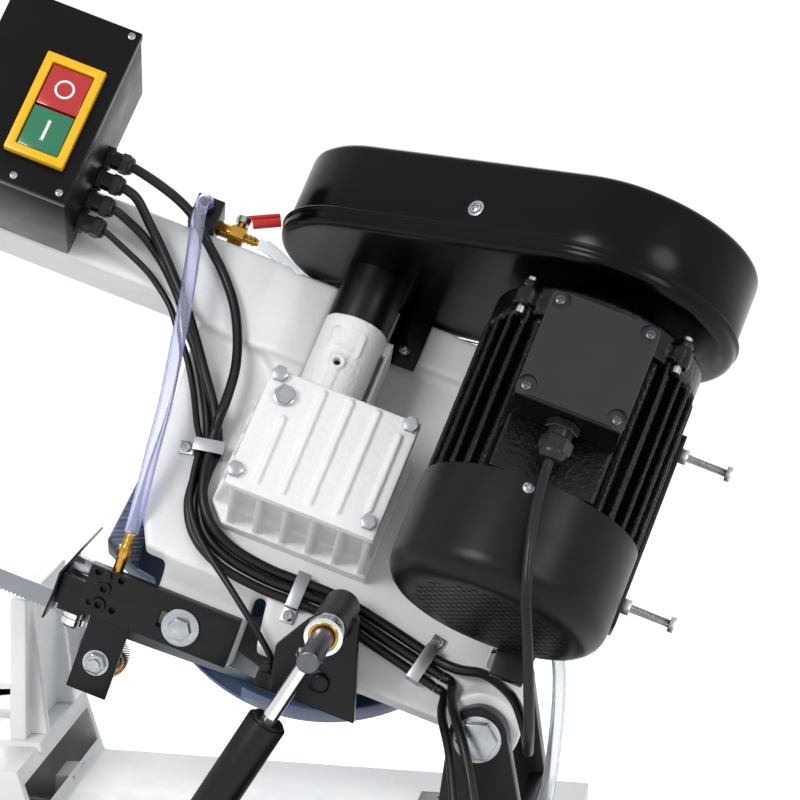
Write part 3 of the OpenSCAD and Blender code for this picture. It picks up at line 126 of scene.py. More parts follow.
def surfaceFinish(name, colours, roughness, grain=1.0, depth=0.05, metallic=0.0,
                  mottle=12.0, coat=0.0, gloss=0.5, stretch=(1, 1, 1), spread=0.06,
                  second=None, wear=None):
    # grain and mottle are pattern sizes in mm, depth is the relief in mm
    material, tree, shader = newMaterial(name)
    place = addNode(tree, "ShaderNodeTexCoord").outputs["Object"]
    turned = addNode(tree, "ShaderNodeMapping", {"Vector": place, "Scale": stretch})
    patch = addNode(tree, "ShaderNodeTexNoise", {"Vector": turned.outputs[0],
                    "Scale": 1000 / mottle, "Detail": 4.0, "Roughness": 0.6})
    mixed = addNode(tree, "ShaderNodeMix", {0: patch.outputs["Fac"], 6: hexColour(colours[0]),
                    7: hexColour(colours[1])}, data_type="RGBA")
    colour = mixed.outputs[2]
    if wear:
        # edges where the finish is rubbed thin
        point = addNode(tree, "ShaderNodeNewGeometry").outputs["Pointiness"]
        rubbed = addNode(tree, "ShaderNodeMapRange", {0: point, 1: 0.53, 2: 0.62})
        worn = addNode(tree, "ShaderNodeMix", {0: rubbed.outputs[0], 6: colour,
                       7: hexColour(wear)}, data_type="RGBA")
        colour = worn.outputs[2]
    tree.links.new(colour, shader.inputs["Base Color"])
    rough = addNode(tree, "ShaderNodeMapRange", {0: patch.outputs["Fac"], 1: 0.3, 2: 0.7,
                    3: max(roughness - spread, 0.02), 4: roughness + spread})
    tree.links.new(rough.outputs[0], shader.inputs["Roughness"])
    fine = addNode(tree, "ShaderNodeTexNoise", {"Vector": turned.outputs[0],
                   "Scale": 1000 / grain, "Detail": 2.0})
    relief = addNode(tree, "ShaderNodeBump", {"Height": fine.outputs["Fac"], "Strength": 1.0,
                     "Distance": depth * 0.001})
    if second:
        coarse = addNode(tree, "ShaderNodeTexNoise", {"Vector": turned.outputs[0],
                         "Scale": 1000 / second[0], "Detail": 1.0})
        relief = addNode(tree, "ShaderNodeBump", {"Height": coarse.outputs["Fac"],
                         "Strength": 1.0, "Distance": second[1] * 0.001,
                         "Normal": relief.outputs[0]})
    tree.links.new(relief.outputs[0], shader.inputs["Normal"])
    shader.inputs["Metallic"].default_value = metallic
    shader.inputs["Coat Weight"].default_value = coat
    shader.inputs["Specular IOR Level"].default_value = gloss
    return material


# grey iron under thick white machine enamel: a soft ripple, faint grey clouds
whiteEnamel = surfaceFinish("whiteEnamelOnCastIron", ("#f0f1ef", "#e6e7e5"), 0.4, grain=2.2,
                            depth=0.10, mottle=26, second=(7, 0.16))
# the gearbox is cast rougher, its sand texture shows through the enamel
castEnamel = surfaceFinish("whiteEnamelOnSandCasting", ("#f2f3f1", "#e4e5e3"), 0.42, grain=1.6,
                           depth=0.14, mottle=18, second=(4.5, 0.2))
# gloss enamel on pressed steel: mirror-like with a little orange peel
glossBlack = surfaceFinish("glossBlackEnamel", ("#030304", "#060607"), 0.22, grain=6,
                           depth=0.03, mottle=60, gloss=0.13, spread=0.05)
# satin powder coat on the fan cover and small brackets
satinBlack = surfaceFinish("satinBlackPowderCoat", ("#060607", "#0a0a0b"), 0.36, grain=0.9,
                           depth=0.02, mottle=40, gloss=0.2, spread=0.05)
# enamel brushed over rough grey iron: pitted, glossy on the high spots
motorBlack = surfaceFinish("blackEnamelOnRoughIron", ("#040405", "#080809"), 0.26, grain=1.4,
                           depth=0.3, mottle=15, gloss=0.26, second=(4, 0.4))
# plain shop black on flat bar and plate
barBlack = surfaceFinish("blackEnamelOnBarSteel", ("#0c0d0e", "#131416"), 0.36, grain=1.8,
                         depth=0.05, mottle=30, gloss=0.24)
# shop grey on folded sheet, dull and a little clouded
trayPaint = surfaceFinish("darkGreyTrayPaint", ("#2b3137", "#333a40"), 0.45, grain=2.0,
                          depth=0.04, mottle=50)
# blue-grey paint on the guards and doors, half matt
bluePaint = surfaceFinish("blueGreyGuardPaint", ("#5a6a8c", "#63749a"), 0.42, grain=1.6,
                          depth=0.05, mottle=45)
# moulded housings: near black, a very fine spark grain breaks the shine
blackAbs = surfaceFinish("mouldedBlackAbs", ("#050506", "#0a0a0b"), 0.32, grain=0.8,
                         depth=0.03, mottle=30, gloss=0.15)
# the terminal lid is a shade lighter and duller than its box
greyAbs = surfaceFinish("mouldedDarkGreyAbs", ("#1b1c1d", "#212223"), 0.5, grain=0.7,
                        depth=0.05, mottle=22, gloss=0.35)
# turned-looking nylon nuts and seals, with a soft edge light
nylon = surfaceFinish("blackNylonGland", ("#0e0f10", "#151617"), 0.34, grain=1.2,
                      depth=0.02, mottle=12, gloss=0.35)
# bright moulded frame, smooth
yellowAbs = surfaceFinish("yellowAbs", ("#f4bf12", "#eab30a"), 0.3, grain=2, depth=0.01,
                          mottle=25)
# keys moulded in colour, polished, with a clear skin
greenKey = surfaceFinish("greenPolycarbonateKey", ("#157a55", "#0f6a48"), 0.2, grain=3,
                         depth=0.01, mottle=10, coat=0.4)
redKey = surfaceFinish("redPolycarbonateKey", ("#c01f1f", "#a81616"), 0.2, grain=3,
                       depth=0.01, mottle=10, coat=0.4)
# dipped sleeve on the valve lever: thick, wet-looking, a few soft lumps
redVinyl = surfaceFinish("redDippedVinyl", ("#d81d18", "#c01510"), 0.3, grain=3, depth=0.03,
                         mottle=14, coat=0.2)
# printed marks of the two keys
whiteMark = surfaceFinish("whitePaintMark", ("#f2f2f2", "#e8e8e8"), 0.4, grain=2, depth=0.01)
# bright zinc on bolts: cool grey with small dull spots
zincPlate = surfaceFinish("zincPlatedSteel", ("#b2b5b8", "#999ca0"), 0.3, grain=1.5,
                          depth=0.02, metallic=1, mottle=6, spread=0.08)
# polished hard chrome on the rod, a clean mirror
chromePlate = surfaceFinish("hardChromePlate", ("#dfe1e4", "#d6d8db"), 0.1, grain=1.5,
                            depth=0.004, metallic=1, mottle=30, spread=0.03)
# ground and turned steel, softly streaked
groundSteel = surfaceFinish("groundSteel", ("#b4b7ba", "#a3a6aa"), 0.3, grain=1.0, depth=0.015,
                            metallic=1, mottle=18, spread=0.07)
# rolled band: grey-blue, its streaks run along it
bandSteel = surfaceFinish("blueTemperedBandSteel", ("#8e9296", "#7b8085"), 0.34, grain=1.2,
                          depth=0.015, metallic=1, mottle=14, stretch=(0.12, 1, 1))
# machined iron of the wheels, dull grey with fine turning
wheelIron = surfaceFinish("machinedCastIron", ("#83878a", "#6f7376"), 0.38, grain=1.4,
                          depth=0.04, metallic=0.9, mottle=20)
# turned brass, warm, with darker touches
castBrass = surfaceFinish("turnedBrass", ("#c79a45", "#a87c33"), 0.26, grain=1.2, depth=0.02,
                          metallic=1, mottle=7)
# gear bronze, browner and duller than brass
wormBronze = surfaceFinish("gearBronze", ("#b8893f", "#a0742f"), 0.3, grain=1.2, depth=0.02,
                           metallic=1, mottle=9)
# crimped brassed wire, dark between the strands
brushWire = surfaceFinish("brassedBrushWire", ("#a9762a", "#7c5318"), 0.35, grain=0.8,
                          depth=0.02, metallic=1, mottle=3)
# rolled aluminium strip, pale and matt
sheetAluminium = surfaceFinish("mattAluminiumStrip", ("#b6b9bb", "#a2a5a8"), 0.36, grain=0.9,
                               depth=0.02, metallic=1, mottle=9)
# extruded PVC jacket with a long soft shine
cablePvc = surfaceFinish("blackCablePvc", ("#08090a", "#0e0f10"), 0.34, grain=1.6, depth=0.02,
                         mottle=25, gloss=0.3)
# rubbed cloth-covered rubber, quite dull
beltRubber = surfaceFinish("vBeltRubber", ("#1a1a1b", "#242425"), 0.6, grain=1.0, depth=0.06,
                           mottle=8)
# oiled pin and stud steel, darker than the plated screws
pinSteel = surfaceFinish("oiledPinSteel", ("#6a6c70", "#5a5c60"), 0.36, grain=1.0, depth=0.02,
                         metallic=1, mottle=10)


def clearVinyl(name, centre, rim, tint, density, roughness, clear):
    # soft PVC tube: milky clear; painted shade: its base colour turns a deeper blue where the wall
    # is seen edge on, standing in for the longer path of light through it
    material, tree, shader = newMaterial(name)
    # painted shade: the facing angle mixes the base colour from the pale centre colour to the
    # deeper rim colour
    side = addNode(tree, "ShaderNodeLayerWeight", {"Blend": 0.42}).outputs["Facing"]
    edge = addNode(tree, "ShaderNodeMapRange", {0: side, 1: 0.3, 2: 0.85})
    body = addNode(tree, "ShaderNodeMix", {0: edge.outputs[0], 6: hexColour(centre),
                   7: hexColour(rim)}, data_type="RGBA")
    tree.links.new(body.outputs[2], shader.inputs["Base Color"])
    shader.inputs["Transmission Weight"].default_value = clear
    shader.inputs["IOR"].default_value = 1.22
    place = addNode(tree, "ShaderNodeTexCoord").outputs["Object"]
    cloud = addNode(tree, "ShaderNodeTexNoise", {"Vector": place, "Scale": 60.0})
    haze = addNode(tree, "ShaderNodeMapRange", {0: cloud.outputs["Fac"], 1: 0.35, 2: 0.7,
                   3: roughness, 4: roughness + 0.08})
    tree.links.new(haze.outputs[0], shader.inputs["Roughness"])
    volume = addNode(tree, "ShaderNodeVolumeAbsorption")
    volume.inputs["Color"].default_value = hexColour(tint)
    volume.inputs["Density"].default_value = density
    tree.links.new(volume.outputs[0], tree.nodes["Material Output"].inputs["Volume"])
    return material


# painted shade: each hose's second colour is painted where its wall is seen edge on
blueHose = clearVinyl("blueTintedVinyl", "#fafbff", "#6d78ee", "#8492ff", 75.0, 0.07, 0.9)
clearHose = clearVinyl("clearVinyl", "#f6f8f9", "#b9c0c5", "#b9c2c7", 60.0, 0.07, 0.92)
print("materials made:", len(bpy.data.materials))

# making pieces, in each body's own axes and in mm


def addPiece(name, bm, body, material, space=None, smooth=35, replaces=(),
             extras=()):
    if space is not None:
        bmesh.ops.transform(bm, matrix=space @ millimetre, verts=bm.verts)
    for face in bm.faces:
        face.smooth = True
    for edge in bm.edges:
        edge.smooth = not (len(edge.link_faces) == 2
                           and edge.calc_face_angle(0) > math.radians(smooth))
    mesh = bpy.data.meshes.new(name)
    bm.to_mesh(mesh)
    bm.free()
    piece = bpy.data.objects.new(name, mesh)
    bpy.context.scene.collection.objects.link(piece)
    for finish in (material, *extras):
        mesh.materials.append(finish)
    if body:
        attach(piece, body)
    if replaces:
        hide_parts(*replaces)
    return piece


def mergedCopy(node, space):
    # a CAD node's solid in its own axes, in mm, with flat faces joined again
    bm = bmesh.new()
    bm.from_mesh(frame["nodes"][node].data)
    bmesh.ops.transform(bm, matrix=(space @ millimetre).inverted(), verts=bm.verts)
    bmesh.ops.remove_doubles(bm, verts=bm.verts, dist=0.002)
    return bm


def markFaces(bm, node):
    # gives the faces of a piece their second finishes and painted shade, and returns these
    marks = finishesAndShade.get(node, [])
    for face in bm.faces:
        for number, (finish, test) in enumerate(marks, 1):
            if test(face.calc_center_median()):
                face.material_index = number
    return [finish for finish, test in marks]


def roundedCopy(node, material, width, space, segments=2, angle=32):
    bm = mergedCopy(node, space)
    if node in cleared:
        gone = [f for f in bm.faces if cleared[node](f.calc_center_median(), f.normal)]
        bmesh.ops.delete(bm, geom=gone, context="FACES")
    bmesh.ops.dissolve_limit(bm, angle_limit=math.radians(0.6), verts=bm.verts, edges=bm.edges)
    if width:
        sharp = [e for e in bm.edges if len(e.link_faces) == 2
                 and math.radians(angle) < e.calc_face_angle(0) and e.calc_length() > 2.4 * width]
        bmesh.ops.bevel(bm, geom=sharp, offset=width, offset_type="OFFSET", segments=segments,
                        profile=0.5, affect="EDGES", material=-1, clamp_overlap=False)
    return addPiece(node + "Form", bm, nodeBody[node], material, space, 34, [node],
                    markFaces(bm, node))


def castCopy(node, material, cell, space, soften, rough):
    # a casting: the solid filled with even cells, its corners then rubbed round
    bm = mergedCopy(node, space)
    mesh = bpy.data.meshes.new(node + "Core")
    bm.to_mesh(mesh)
    bm.free()
    core = bpy.data.objects.new(node + "Core", mesh)
    bpy.context.scene.collection.objects.link(core)
    remesh = core.modifiers.new("cells", "REMESH")
    remesh.mode = "VOXEL"
    remesh.voxel_size = cell
    bpy.context.view_layer.update()
    made = bpy.data.meshes.new_from_object(
        core.evaluated_get(bpy.context.evaluated_depsgraph_get()))
    bpy.data.objects.remove(core)
    bm = bmesh.new()
    bm.from_mesh(made)
    for _ in range(soften):
        bmesh.ops.smooth_vert(bm, verts=bm.verts, factor=0.5, use_axis_x=True,
                              use_axis_y=True, use_axis_z=True)
    if rough:
        bm.normal_update()
        for vert in bm.verts:
            vert.co += vert.normal * noise.noise(vert.co / 3.1) * rough
    return addPiece(node + "Form", bm, nodeBody[node], material, space, 60, [node],
                    markFaces(bm, node))


# forms made ring by ring


def ringStack(rings, closed=False, bm=None, place=None, finish=0, capped=True):
    # rings of equal count joined by quads, closed end to end or capped
    bm = bm or bmesh.new()
    place = place or Matrix()
    rows = [[bm.verts.new(place @ Vector(p)) for p in ring] for ring in rings]
    count = len(rows[0])
    pairs = list(zip(rows, rows[1:] + rows[:1] if closed else rows[1:]))
    for low, high in pairs:
        for i in range(count):
            k = (i + 1) % count
            face = bm.faces.new((low[i], low[k], high[k], high[i]))
            face.material_index = finish
    if capped and not closed:
        for row, ends in ((rows[0], -1), (rows[-1], 1)):
            bm.faces.new(row[::ends]).material_index = finish
    return bm


def turnedRings(profile, count=40, shape=None):
    # profile of (radius, height); shape may change the radius round the axis
    rings = []
    for radius, height in profile:
        ring = []
        for k in range(count):
            r = radius * shape(k / count) if shape else radius
            angle = 2 * math.pi * k / count
            ring.append((r * math.cos(angle), r * math.sin(angle), height))
        rings.append(ring)
    return rings


def addTurned(bm, place, profile, count=40, shape=None, **options):
    ringStack(turnedRings(profile, count, shape), bm=bm, place=place, **options)


def aimed(place, direction):
    turn = Vector(direction).to_track_quat("Z", "Y").to_matrix().to_4x4()
    return Matrix.Translation(place) @ turn


def hexagonal(part):
    turn = (part * 6) % 1 - 0.5
    return math.cos(math.pi / 6) / math.cos(turn * math.pi / 3)


def crossHead(bm, place, direction, radius, height, finish=0):
    # pan head: a domed disc with a cross pressed into it
    rings = [(f * radius, f) for f in (0.06, 0.12, 0.2, 0.3, 0.42, 0.54, 0.6, 0.72, 0.84, 0.94)]
    arm, reach = 0.16 * radius, 0.58 * radius
    grid = []
    for r, part in rings:
        ring = []
        for k in range(48):
            x, y = r * math.cos(math.pi * k / 24), r * math.sin(math.pi * k / 24)
            inside = ((abs(x) < arm and abs(y) < reach) or (abs(y) < arm and abs(x) < reach))
            top = height * (1 - 0.45 * part ** 3)
            ring.append((x, y, top - (0.62 * height * (1 - 0.6 * part) if inside else 0)))
        grid.append(ring)
    edge = [[(s * radius * math.cos(math.pi * k / 24), s * radius * math.sin(math.pi * k / 24), z)
             for k in range(48)] for s, z in ((1.0, 0.38 * height), (1.0, 0))]
    ringStack((grid + edge)[::-1], bm=bm, place=aimed(place, direction), finish=finish)


def threadRod(bm, start, end, radius, pitch, depth, finish=0):
    # outside thread: the radius follows a helix
    start, end = Vector(start), Vector(end)
    length = (end - start).length
    steps = int(length / pitch * 4)
    rings = []
    for i in range(steps + 1):
        z = length * i / steps
        ring = []
        for k in range(20):
            turn = (z / pitch - k / 20) % 1
            r = radius - depth * abs(2 * turn - 1)
            ring.append((r * math.cos(math.pi * k / 10), r * math.sin(math.pi * k / 10), z))
        rings.append(ring)
    ringStack(rings, bm=bm, place=aimed(start, end - start), finish=finish)


def smoothRoute(points, steps):
    line = []
    for i in range(len(points) - 1):
        a, b = points[max(i - 1, 0)], points[i]
        c, d = points[i + 1], points[min(i + 2, len(points) - 1)]
        for j in range(steps):
            t = j / steps
            line.append(0.5 * (2 * b + (c - a) * t + (2 * a - 5 * b + 4 * c - d) * t * t
                               + (3 * b - a - 3 * c + d) * t ** 3))
    return line + [points[-1]]


def relaxed(line, rounds):
    # a stiff hose or lead has no kink: its line is evened out between its ends
    for _ in range(rounds):
        line = [line[0]] + [(a + 2 * b + c) / 4 for a, b, c in zip(line, line[1:], line[2:])] \
            + [line[-1]]
    return line


def tubeAlong(name, line, radius, material, body, inner=0.0, sides=20):
    # one open spline with a round section; a hose also has its inner wall
    curve = bpy.data.curves.new(name, "CURVE")
    curve.dimensions = "3D"
    spline = curve.splines.new("POLY")
    spline.points.add(len(line) - 1)
    for point, place in zip(spline.points, line):
        point.co = (*place, 1)
    curve.bevel_depth = radius
    curve.bevel_resolution = sides // 4
    curve.use_fill_caps = not inner
    piece = bpy.data.objects.new(name, curve)
    bpy.context.scene.collection.objects.link(piece)
    curve.materials.append(material)
    if body and not inner:
        for s in curve.splines:
            s.use_smooth = True
        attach(piece, body)
        return piece
    bpy.context.view_layer.update()
    made = bpy.data.meshes.new_from_object(piece)
    bm = bmesh.new()
    bm.from_mesh(made)
    bpy.data.objects.remove(piece)
    bmesh.ops.recalc_face_normals(bm, faces=bm.faces)
    if inner:
        bmesh.ops.solidify(bm, geom=bm.faces, thickness=inner)
        bmesh.ops.recalc_face_normals(bm, faces=bm.faces)
    return addPiece(name, bm, body, material, None, 50)


# cords and hoses: routes in mm, in the bow's or the machine's axes

routes = {
    "motorLead": [[270, 32, 217], [262, 31.4, 216.6], [242, 26, 214], [222, 20, 210],
                  [205, 18, 203], [190, 16, 193], [176, 11, 181], [154, 7, 162], [134, 7.5, 138],
                  [119, 9, 110], [109, 11, 81], [105, 11.5, 51], [104.5, 10.5, 32],
                  [103.5, 5.8, 19], [101.5, 4.2, 4], [97, 4.2, -22], [88, 4.2, -45],
                  [71, 3, -63], [46, -1, -73.5], [12, -5, -77.5], [-20, -5, -77.5],
                  [-55, -5, -78], [-96, -5, -85], [-133, -5, -93], [-160, -4, -99],
                  [-178, 2, -101], [-198, 14, -100], [-216, 32, -108], [-234, 56, -124],
                  [-248, 84, -148], [-257, 118, -172], [-258, 152, -184], [-252, 188, -176],
                  [-240, 220, -154], [-225, 244, -124], [-210, 261, -92], [-200, 268, -60],
                  [-193, 268, -30], [-189, 266, 0], [-188, 265, 12], [-188, 265, 29.3]],
    "mainsBow": [[270, 32, 195], [262, 31.4, 194.6], [250, 27, 191], [232, 20, 176],
                 [211, 16, 157], [190, 14, 136], [171, 12.5, 116], [152, 10, 92], [133, 7, 67],
                 [114.5, 3, 43], [108, 1, 32], [100.5, -3, 19], [96, -5.2, 4], [96, -5.2, -19],
                 [91, -5.2, -45], [76, -5.2, -68], [50, -5.2, -81.5], [14, -5.2, -87],
                 [-20, -5.2, -87], [-55, -5.2, -88], [-97, -5.2, -96], [-133, -5.2, -103.5],
                 [-165, -5.1, -110.3]],
    "pumpBow": [[270, 32, 172], [261, 31, 171.6], [236, 15, 166], [215, 6, 155], [198, 4.8, 141],
                [180, 4.6, 122], [165, 0, 103], [147, -4, 83], [130, -5.6, 57], [113, -5.6, 25],
                [106.8, -5.6, 4], [105.5, -5.6, -21], [100.8, -5.6, -50], [84, -5.6, -75],
                [54.5, -5.6, -91], [14, -5.6, -97], [-20, -5.6, -97], [-55, -5.6, -98],
                [-96, -5.6, -106.5], [-132, -5.6, -114.5], [-163, -5.4, -122]],
    "switchLead": [[270, 32, 150], [262, 30, 149], [242, 20, 144], [222, 11, 138], [208, 6, 131],
                   [187, 4, 115], [172, 1, 97], [154.5, -3, 77], [138, -5, 52], [122, -1, 22],
                   [111.6, 2.4, 4], [107, 2.4, -21], [99.5, 2.6, -49], [85, 3, -70],
                   [65, 4, -88], [33, 8, -112], [1, 6, -136], [-18, -2, -150],
                   [-25.6, -10.9, -157.9]],
    "mainsPivot": [[-187.3, 78, 703.5], [-193, 104, 697], [-202, 126, 686], [-214, 146, 655],
                   [-224, 168, 612], [-232, 196, 562], [-240, 222, 522], [-249, 244, 494],
                   [-252, 249, 468], [-252, 249, 440]],
    "pumpPivot": [[-179.7, 84, 693.4], [-184.7, 106, 683.2], [-192.8, 124, 669.9],
                  [-200, 146, 640], [-208, 170, 600], [-217, 198, 554], [-227, 224, 518],
                  [-236, 244, 494], [-239, 249, 468], [-239, 249, 440], [-238, 250, 420],
                  [-234, 248, 397], [-215, 238, 377], [-180, 205, 363], [-145, 140, 362],
                  [-122, 60, 362], [-110, 18, 362], [-98, 2, 362], [-84, 0, 362]],
    "mainsFloor": [[-252, 249.1, 439.4], [-252, 250, 400], [-251, 252, 300], [-250, 254, 200],
                   [-249, 256, 110], [-246, 258, 50], [-236, 258, 18], [-212, 256, 6],
                   [-176, 248, 4.7], [-120, 222, 4.7], [-50, 184, 4.7], [30, 150, 4.7],
                   [110, 124, 4.7], [190, 100, 4.7], [262, 66, 4.7], [306, 16, 4.7],
                   [308, -40, 4.7], [268, -80, 4.7], [200, -92, 4.7], [120, -76, 4.7],
                   [50, -44, 4.7], [-20, -8, 4.7], [-80, 22, 4.7], [-120, 36, 5], [-138, 42, 8],
                   [-150, 46, 8]],
    "coolantHose": [[192, 21.6, 214], [192.2, 27, 214.6], [194, 34, 211], [193, 37, 200],
                    [188, 38, 180], [180, 37, 150], [170, 36, 110], [163, 35, 76], [156, 34, 44],
                    [150, 30, 12], [146, 24, -22], [142, 12, -50], [140, 0, -70],
                    [139.5, -9, -79.5], [139, -17.7, -88.9]],
    "supplyBow": [[136.9, -12, 209], [128, -12, 209], [114, -22, 206], [100, -34, 204],
                  [84, -45, 201], [60, -50, 199.3], [20, -51, 199.2], [-60, -51, 198.4],
                  [-140, -51, 198.4], [-165, -50, 195], [-192, -50, 177], [-208, -50, 145],
                  [-214, -50, 100], [-216, -50, 50], [-218, -50, 0], [-224, -40, -48]],
    "supplyStand": [[-278, 54, 758], [-286, 116, 712], [-284, 168, 650], [-276, 206, 600],
                    [-258, 240, 548], [-236, 258, 500], [-218, 262, 455], [-206, 258, 415],
                    [-190, 244, 385], [-165, 215, 355], [-130, 180, 332], [-90, 145, 322],
                    [-50, 112, 318], [-22, 92, 318], [-10, 78, 318], [-10, 66.8, 318]],
    "mainsAcross": [[-166.4, -5.1, -110.6], [-178, -3.4, -112.6]],
    "pumpAcross": [[-164.4, -5.4, -122.3], [-175.5, -3.6, -124.6]],
}


def routeIn(space, name):
    return [toRow(space, p) for p in routes[name]]


# radius and real length in metres
bowLeads = {"motorLead": (0.0046, 1.1264), "mainsBow": (0.0046, 0.5938),
            "pumpBow": (0.0042, 0.5941), "switchLead": (0.003, 0.4597)}
pivotLeads = {"mainsPivot": ("mainsAcross", 0.0046, 0.3671),
              "pumpPivot": ("pumpAcross", 0.0042, 0.7033)}
floorLead = {"radius": 0.0046, "length": 1.5913, "easing": 6}
coolantTube = {"radius": 0.0065, "wall": 0.0014, "length": 0.3325, "easing": 16}
supplyTube = {"radius": 0.006, "wall": 0.0013, "length": 1.3729, "easing": 16}
pivotEasing = 24


def standsFor(node):
    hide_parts(node)


def layLeads():
    for name, (radius, length) in bowLeads.items():
        line = smoothRoute(routeIn(bowSpace, name), 8)
        lead = tubeAlong(name, line, radius, cablePvc, "bow")
        if name == "motorLead":
            standsFor("bow_cables")
    for name, (before, radius, length) in pivotLeads.items():
        # these follow the bow at one end and the stand at the other
        points = routeIn(bowSpace, before) + routeIn(machineSpace, name)
        line = relaxed(smoothRoute(points, 8), pivotEasing)
        lead = tubeAlong(name, line, radius, cablePvc, None)
        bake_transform(lead)
        if name == "mainsPivot":
            standsFor("pivot_leads")
    line = relaxed(smoothRoute(routeIn(machineSpace, "mainsFloor"), 8), floorLead["easing"])
    lead = tubeAlong("mainsLead", line, floorLead["radius"], cablePvc, "base")
    standsFor("mains_lead")


def layHoses():
    line = relaxed(smoothRoute(routeIn(bowSpace, "coolantHose"), 8), coolantTube["easing"])
    hose = tubeAlong("coolantHose", line, coolantTube["radius"], blueHose, "bow",
                     inner=coolantTube["wall"], sides=32)
    standsFor("coolant_hose")
    points = routeIn(bowSpace, "supplyBow") + routeIn(machineSpace, "supplyStand")
    line = relaxed(smoothRoute(points, 6), supplyTube["easing"])
    hose = tubeAlong("supplyHose", line, supplyTube["radius"], clearHose, None,
                     inner=supplyTube["wall"], sides=24)
    standsFor("supply_hose")
    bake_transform(hose)


layLeads()
layHoses()
print("cords laid")

# where a piece changes its finish or gets painted shade, in its own axes and in mm


def near(point, x, y, z):
    return x[0] < point.x < x[1] and y[0] < point.y < y[1] and z[0] < point.z < z[1]


def flat(a, b):
    return math.hypot(a, b)


def plugSide(c, turn=0):
    angle = math.radians(161 + turn)
    return (c.x + 150) * math.cos(angle) + (c.y - 46) * math.sin(angle)


# across and up the bow's face; the fan screw by its side of the motor
fasteners = {"lid": [(-227.5, 62), (-227.5, 142), (-148.5, 62), (-148.5, 142)],
             "box": [(298, 131), (341, 131), (298, 294), (404, 294)],
             "boxFace": 132, "tab": (-25, 158), "tabFace": 3.3,
             "plug": (48, 40), "plugFace": 110,
             "motorAxis": (-188, 155), "fanSide": (8, 96.6), "fanRadius": 96.8, "fanUp": -4,
             "boltDeep": 70, "boltsUp": (-12, 136), "boltRun": (-262, -333.2)}
finishesAndShade = {
    "belt_pan": [(satinBlack, lambda c: c.y > 3.5)],
    # painted shade: black enamel on the faces inside the gearbox's oil hole, standing in for the
    # shade of a deep hole
    "gearbox_housing": [(motorBlack, lambda c: flat(c.x - 20, c.z - 96) < 2.9 and c.y > 60)],
    # shaft ends and nuts of the bracket are plated
    "guide_bracket": [(zincPlate, lambda c: near(c, (162.6, 181), (10, 26.1), (-144, -128))),
                      (pinSteel, lambda c: c.z < -176.5 and 150 < c.x < 190 and c.z > -199.2
                       and flat(c.x - 168, 0) < 7 and c.y < 20)],
    "cylinder_arm": [(pinSteel, lambda c: c.y > 104 and flat(c.x + 62, c.z + 68) < 11.5)],
    "wire_brush": [(zincPlate, lambda c: flat(c.x - 131, c.z + 214) < 6.4 and c.y > 3.5),
                   (barBlack, lambda c: flat(c.x - 131, c.z + 214) < 11.4
                    and not 3.5 < c.y < 40)],
    "start_button": [(whiteMark, lambda c: c.y > 138.2)],
    "stop_button": [(whiteMark, lambda c: c.y > 138.2)],
    "machine_screws": [(motorBlack, lambda c: 169 < c.z < 176.3
                        and abs(flat(c.x + 188, c.y - 155) - 99) < 9),
                       (groundSteel, lambda c: near(c, (-334, -262), (60, 80), (-30, 160)))],
    "valve_lever": [(zincPlate, lambda c: c.x > 151.5)],
    "mains_plug": [(castBrass, lambda c: abs(c.z - 15) < 2.6 and plugSide(c) > 46.5
                    and abs(abs(plugSide(c, 90)) - 9.5) < 2.6)],
    "motor_rotor": [(wheelIron, lambda c: c.z > 204)],
}


def replacedHead(c, normal):
    # screw heads and threads that get their own forms
    def within(spots, reach, above):
        return any(flat(c.x - x, c.z - z) < reach and c.y > above for x, z in spots)

    if (within(fasteners["lid"], 6.5, 295.5)
            or within(fasteners["box"], 5, fasteners["boxFace"] - 0.1)
            or within([fasteners["tab"]], 7, fasteners["tabFace"] - 0.05)
            or within([fasteners["plug"]], 12, fasteners["plugFace"] - 0.1)):
        return True
    return (any(flat(c.y - fasteners["boltDeep"], c.z - z) < 4.3 for z in fasteners["boltsUp"])
            and c.x < fasteners["boltRun"][0] and abs(normal.x) < 0.5)


cleared = {
    "machine_screws": replacedHead,
    "belt_pan": lambda c, normal: c.z > 193.3 and not (c.y < 3.4 and c.z < 195),
}

# castings: finish, cell size, axes, rounds of softening, roughness, in mm

castings = {
    "bow_casting": (whiteEnamel, 2.9, bowSpace, 3, 0.0),
    "gearbox_housing": (castEnamel, 1.35, bowSpace, 3, 0.35),
    "gearbox_cover": (castEnamel, 1.0, bowSpace, 3, 0.25),
    "motor_housing": (motorBlack, 1.9, bowSpace, 2, 0.3),
    "fixed_jaw": (whiteEnamel, 2.0, machineSpace, 3, 0.0),
    "movable_jaw": (whiteEnamel, 2.0, machineSpace, 3, 0.0),
    "vise_handwheel": (glossBlack, 1.2, machineSpace, 3, 0.0),
    "tension_knob": (glossBlack, 1.2, bowSpace, 3, 0.0),
    "cylinder_arm": (barBlack, 1.5, levelSpace, 2, 0.0),
    "guide_arm": (barBlack, 1.8, levelSpace, 2, 0.0),
}
for node, choices in castings.items():
    piece = castCopy(node, *choices)
    print("casting", node, len(piece.data.polygons), "faces")

# plates, sheets and turned parts: finish, width of the rounded edges in mm, axes

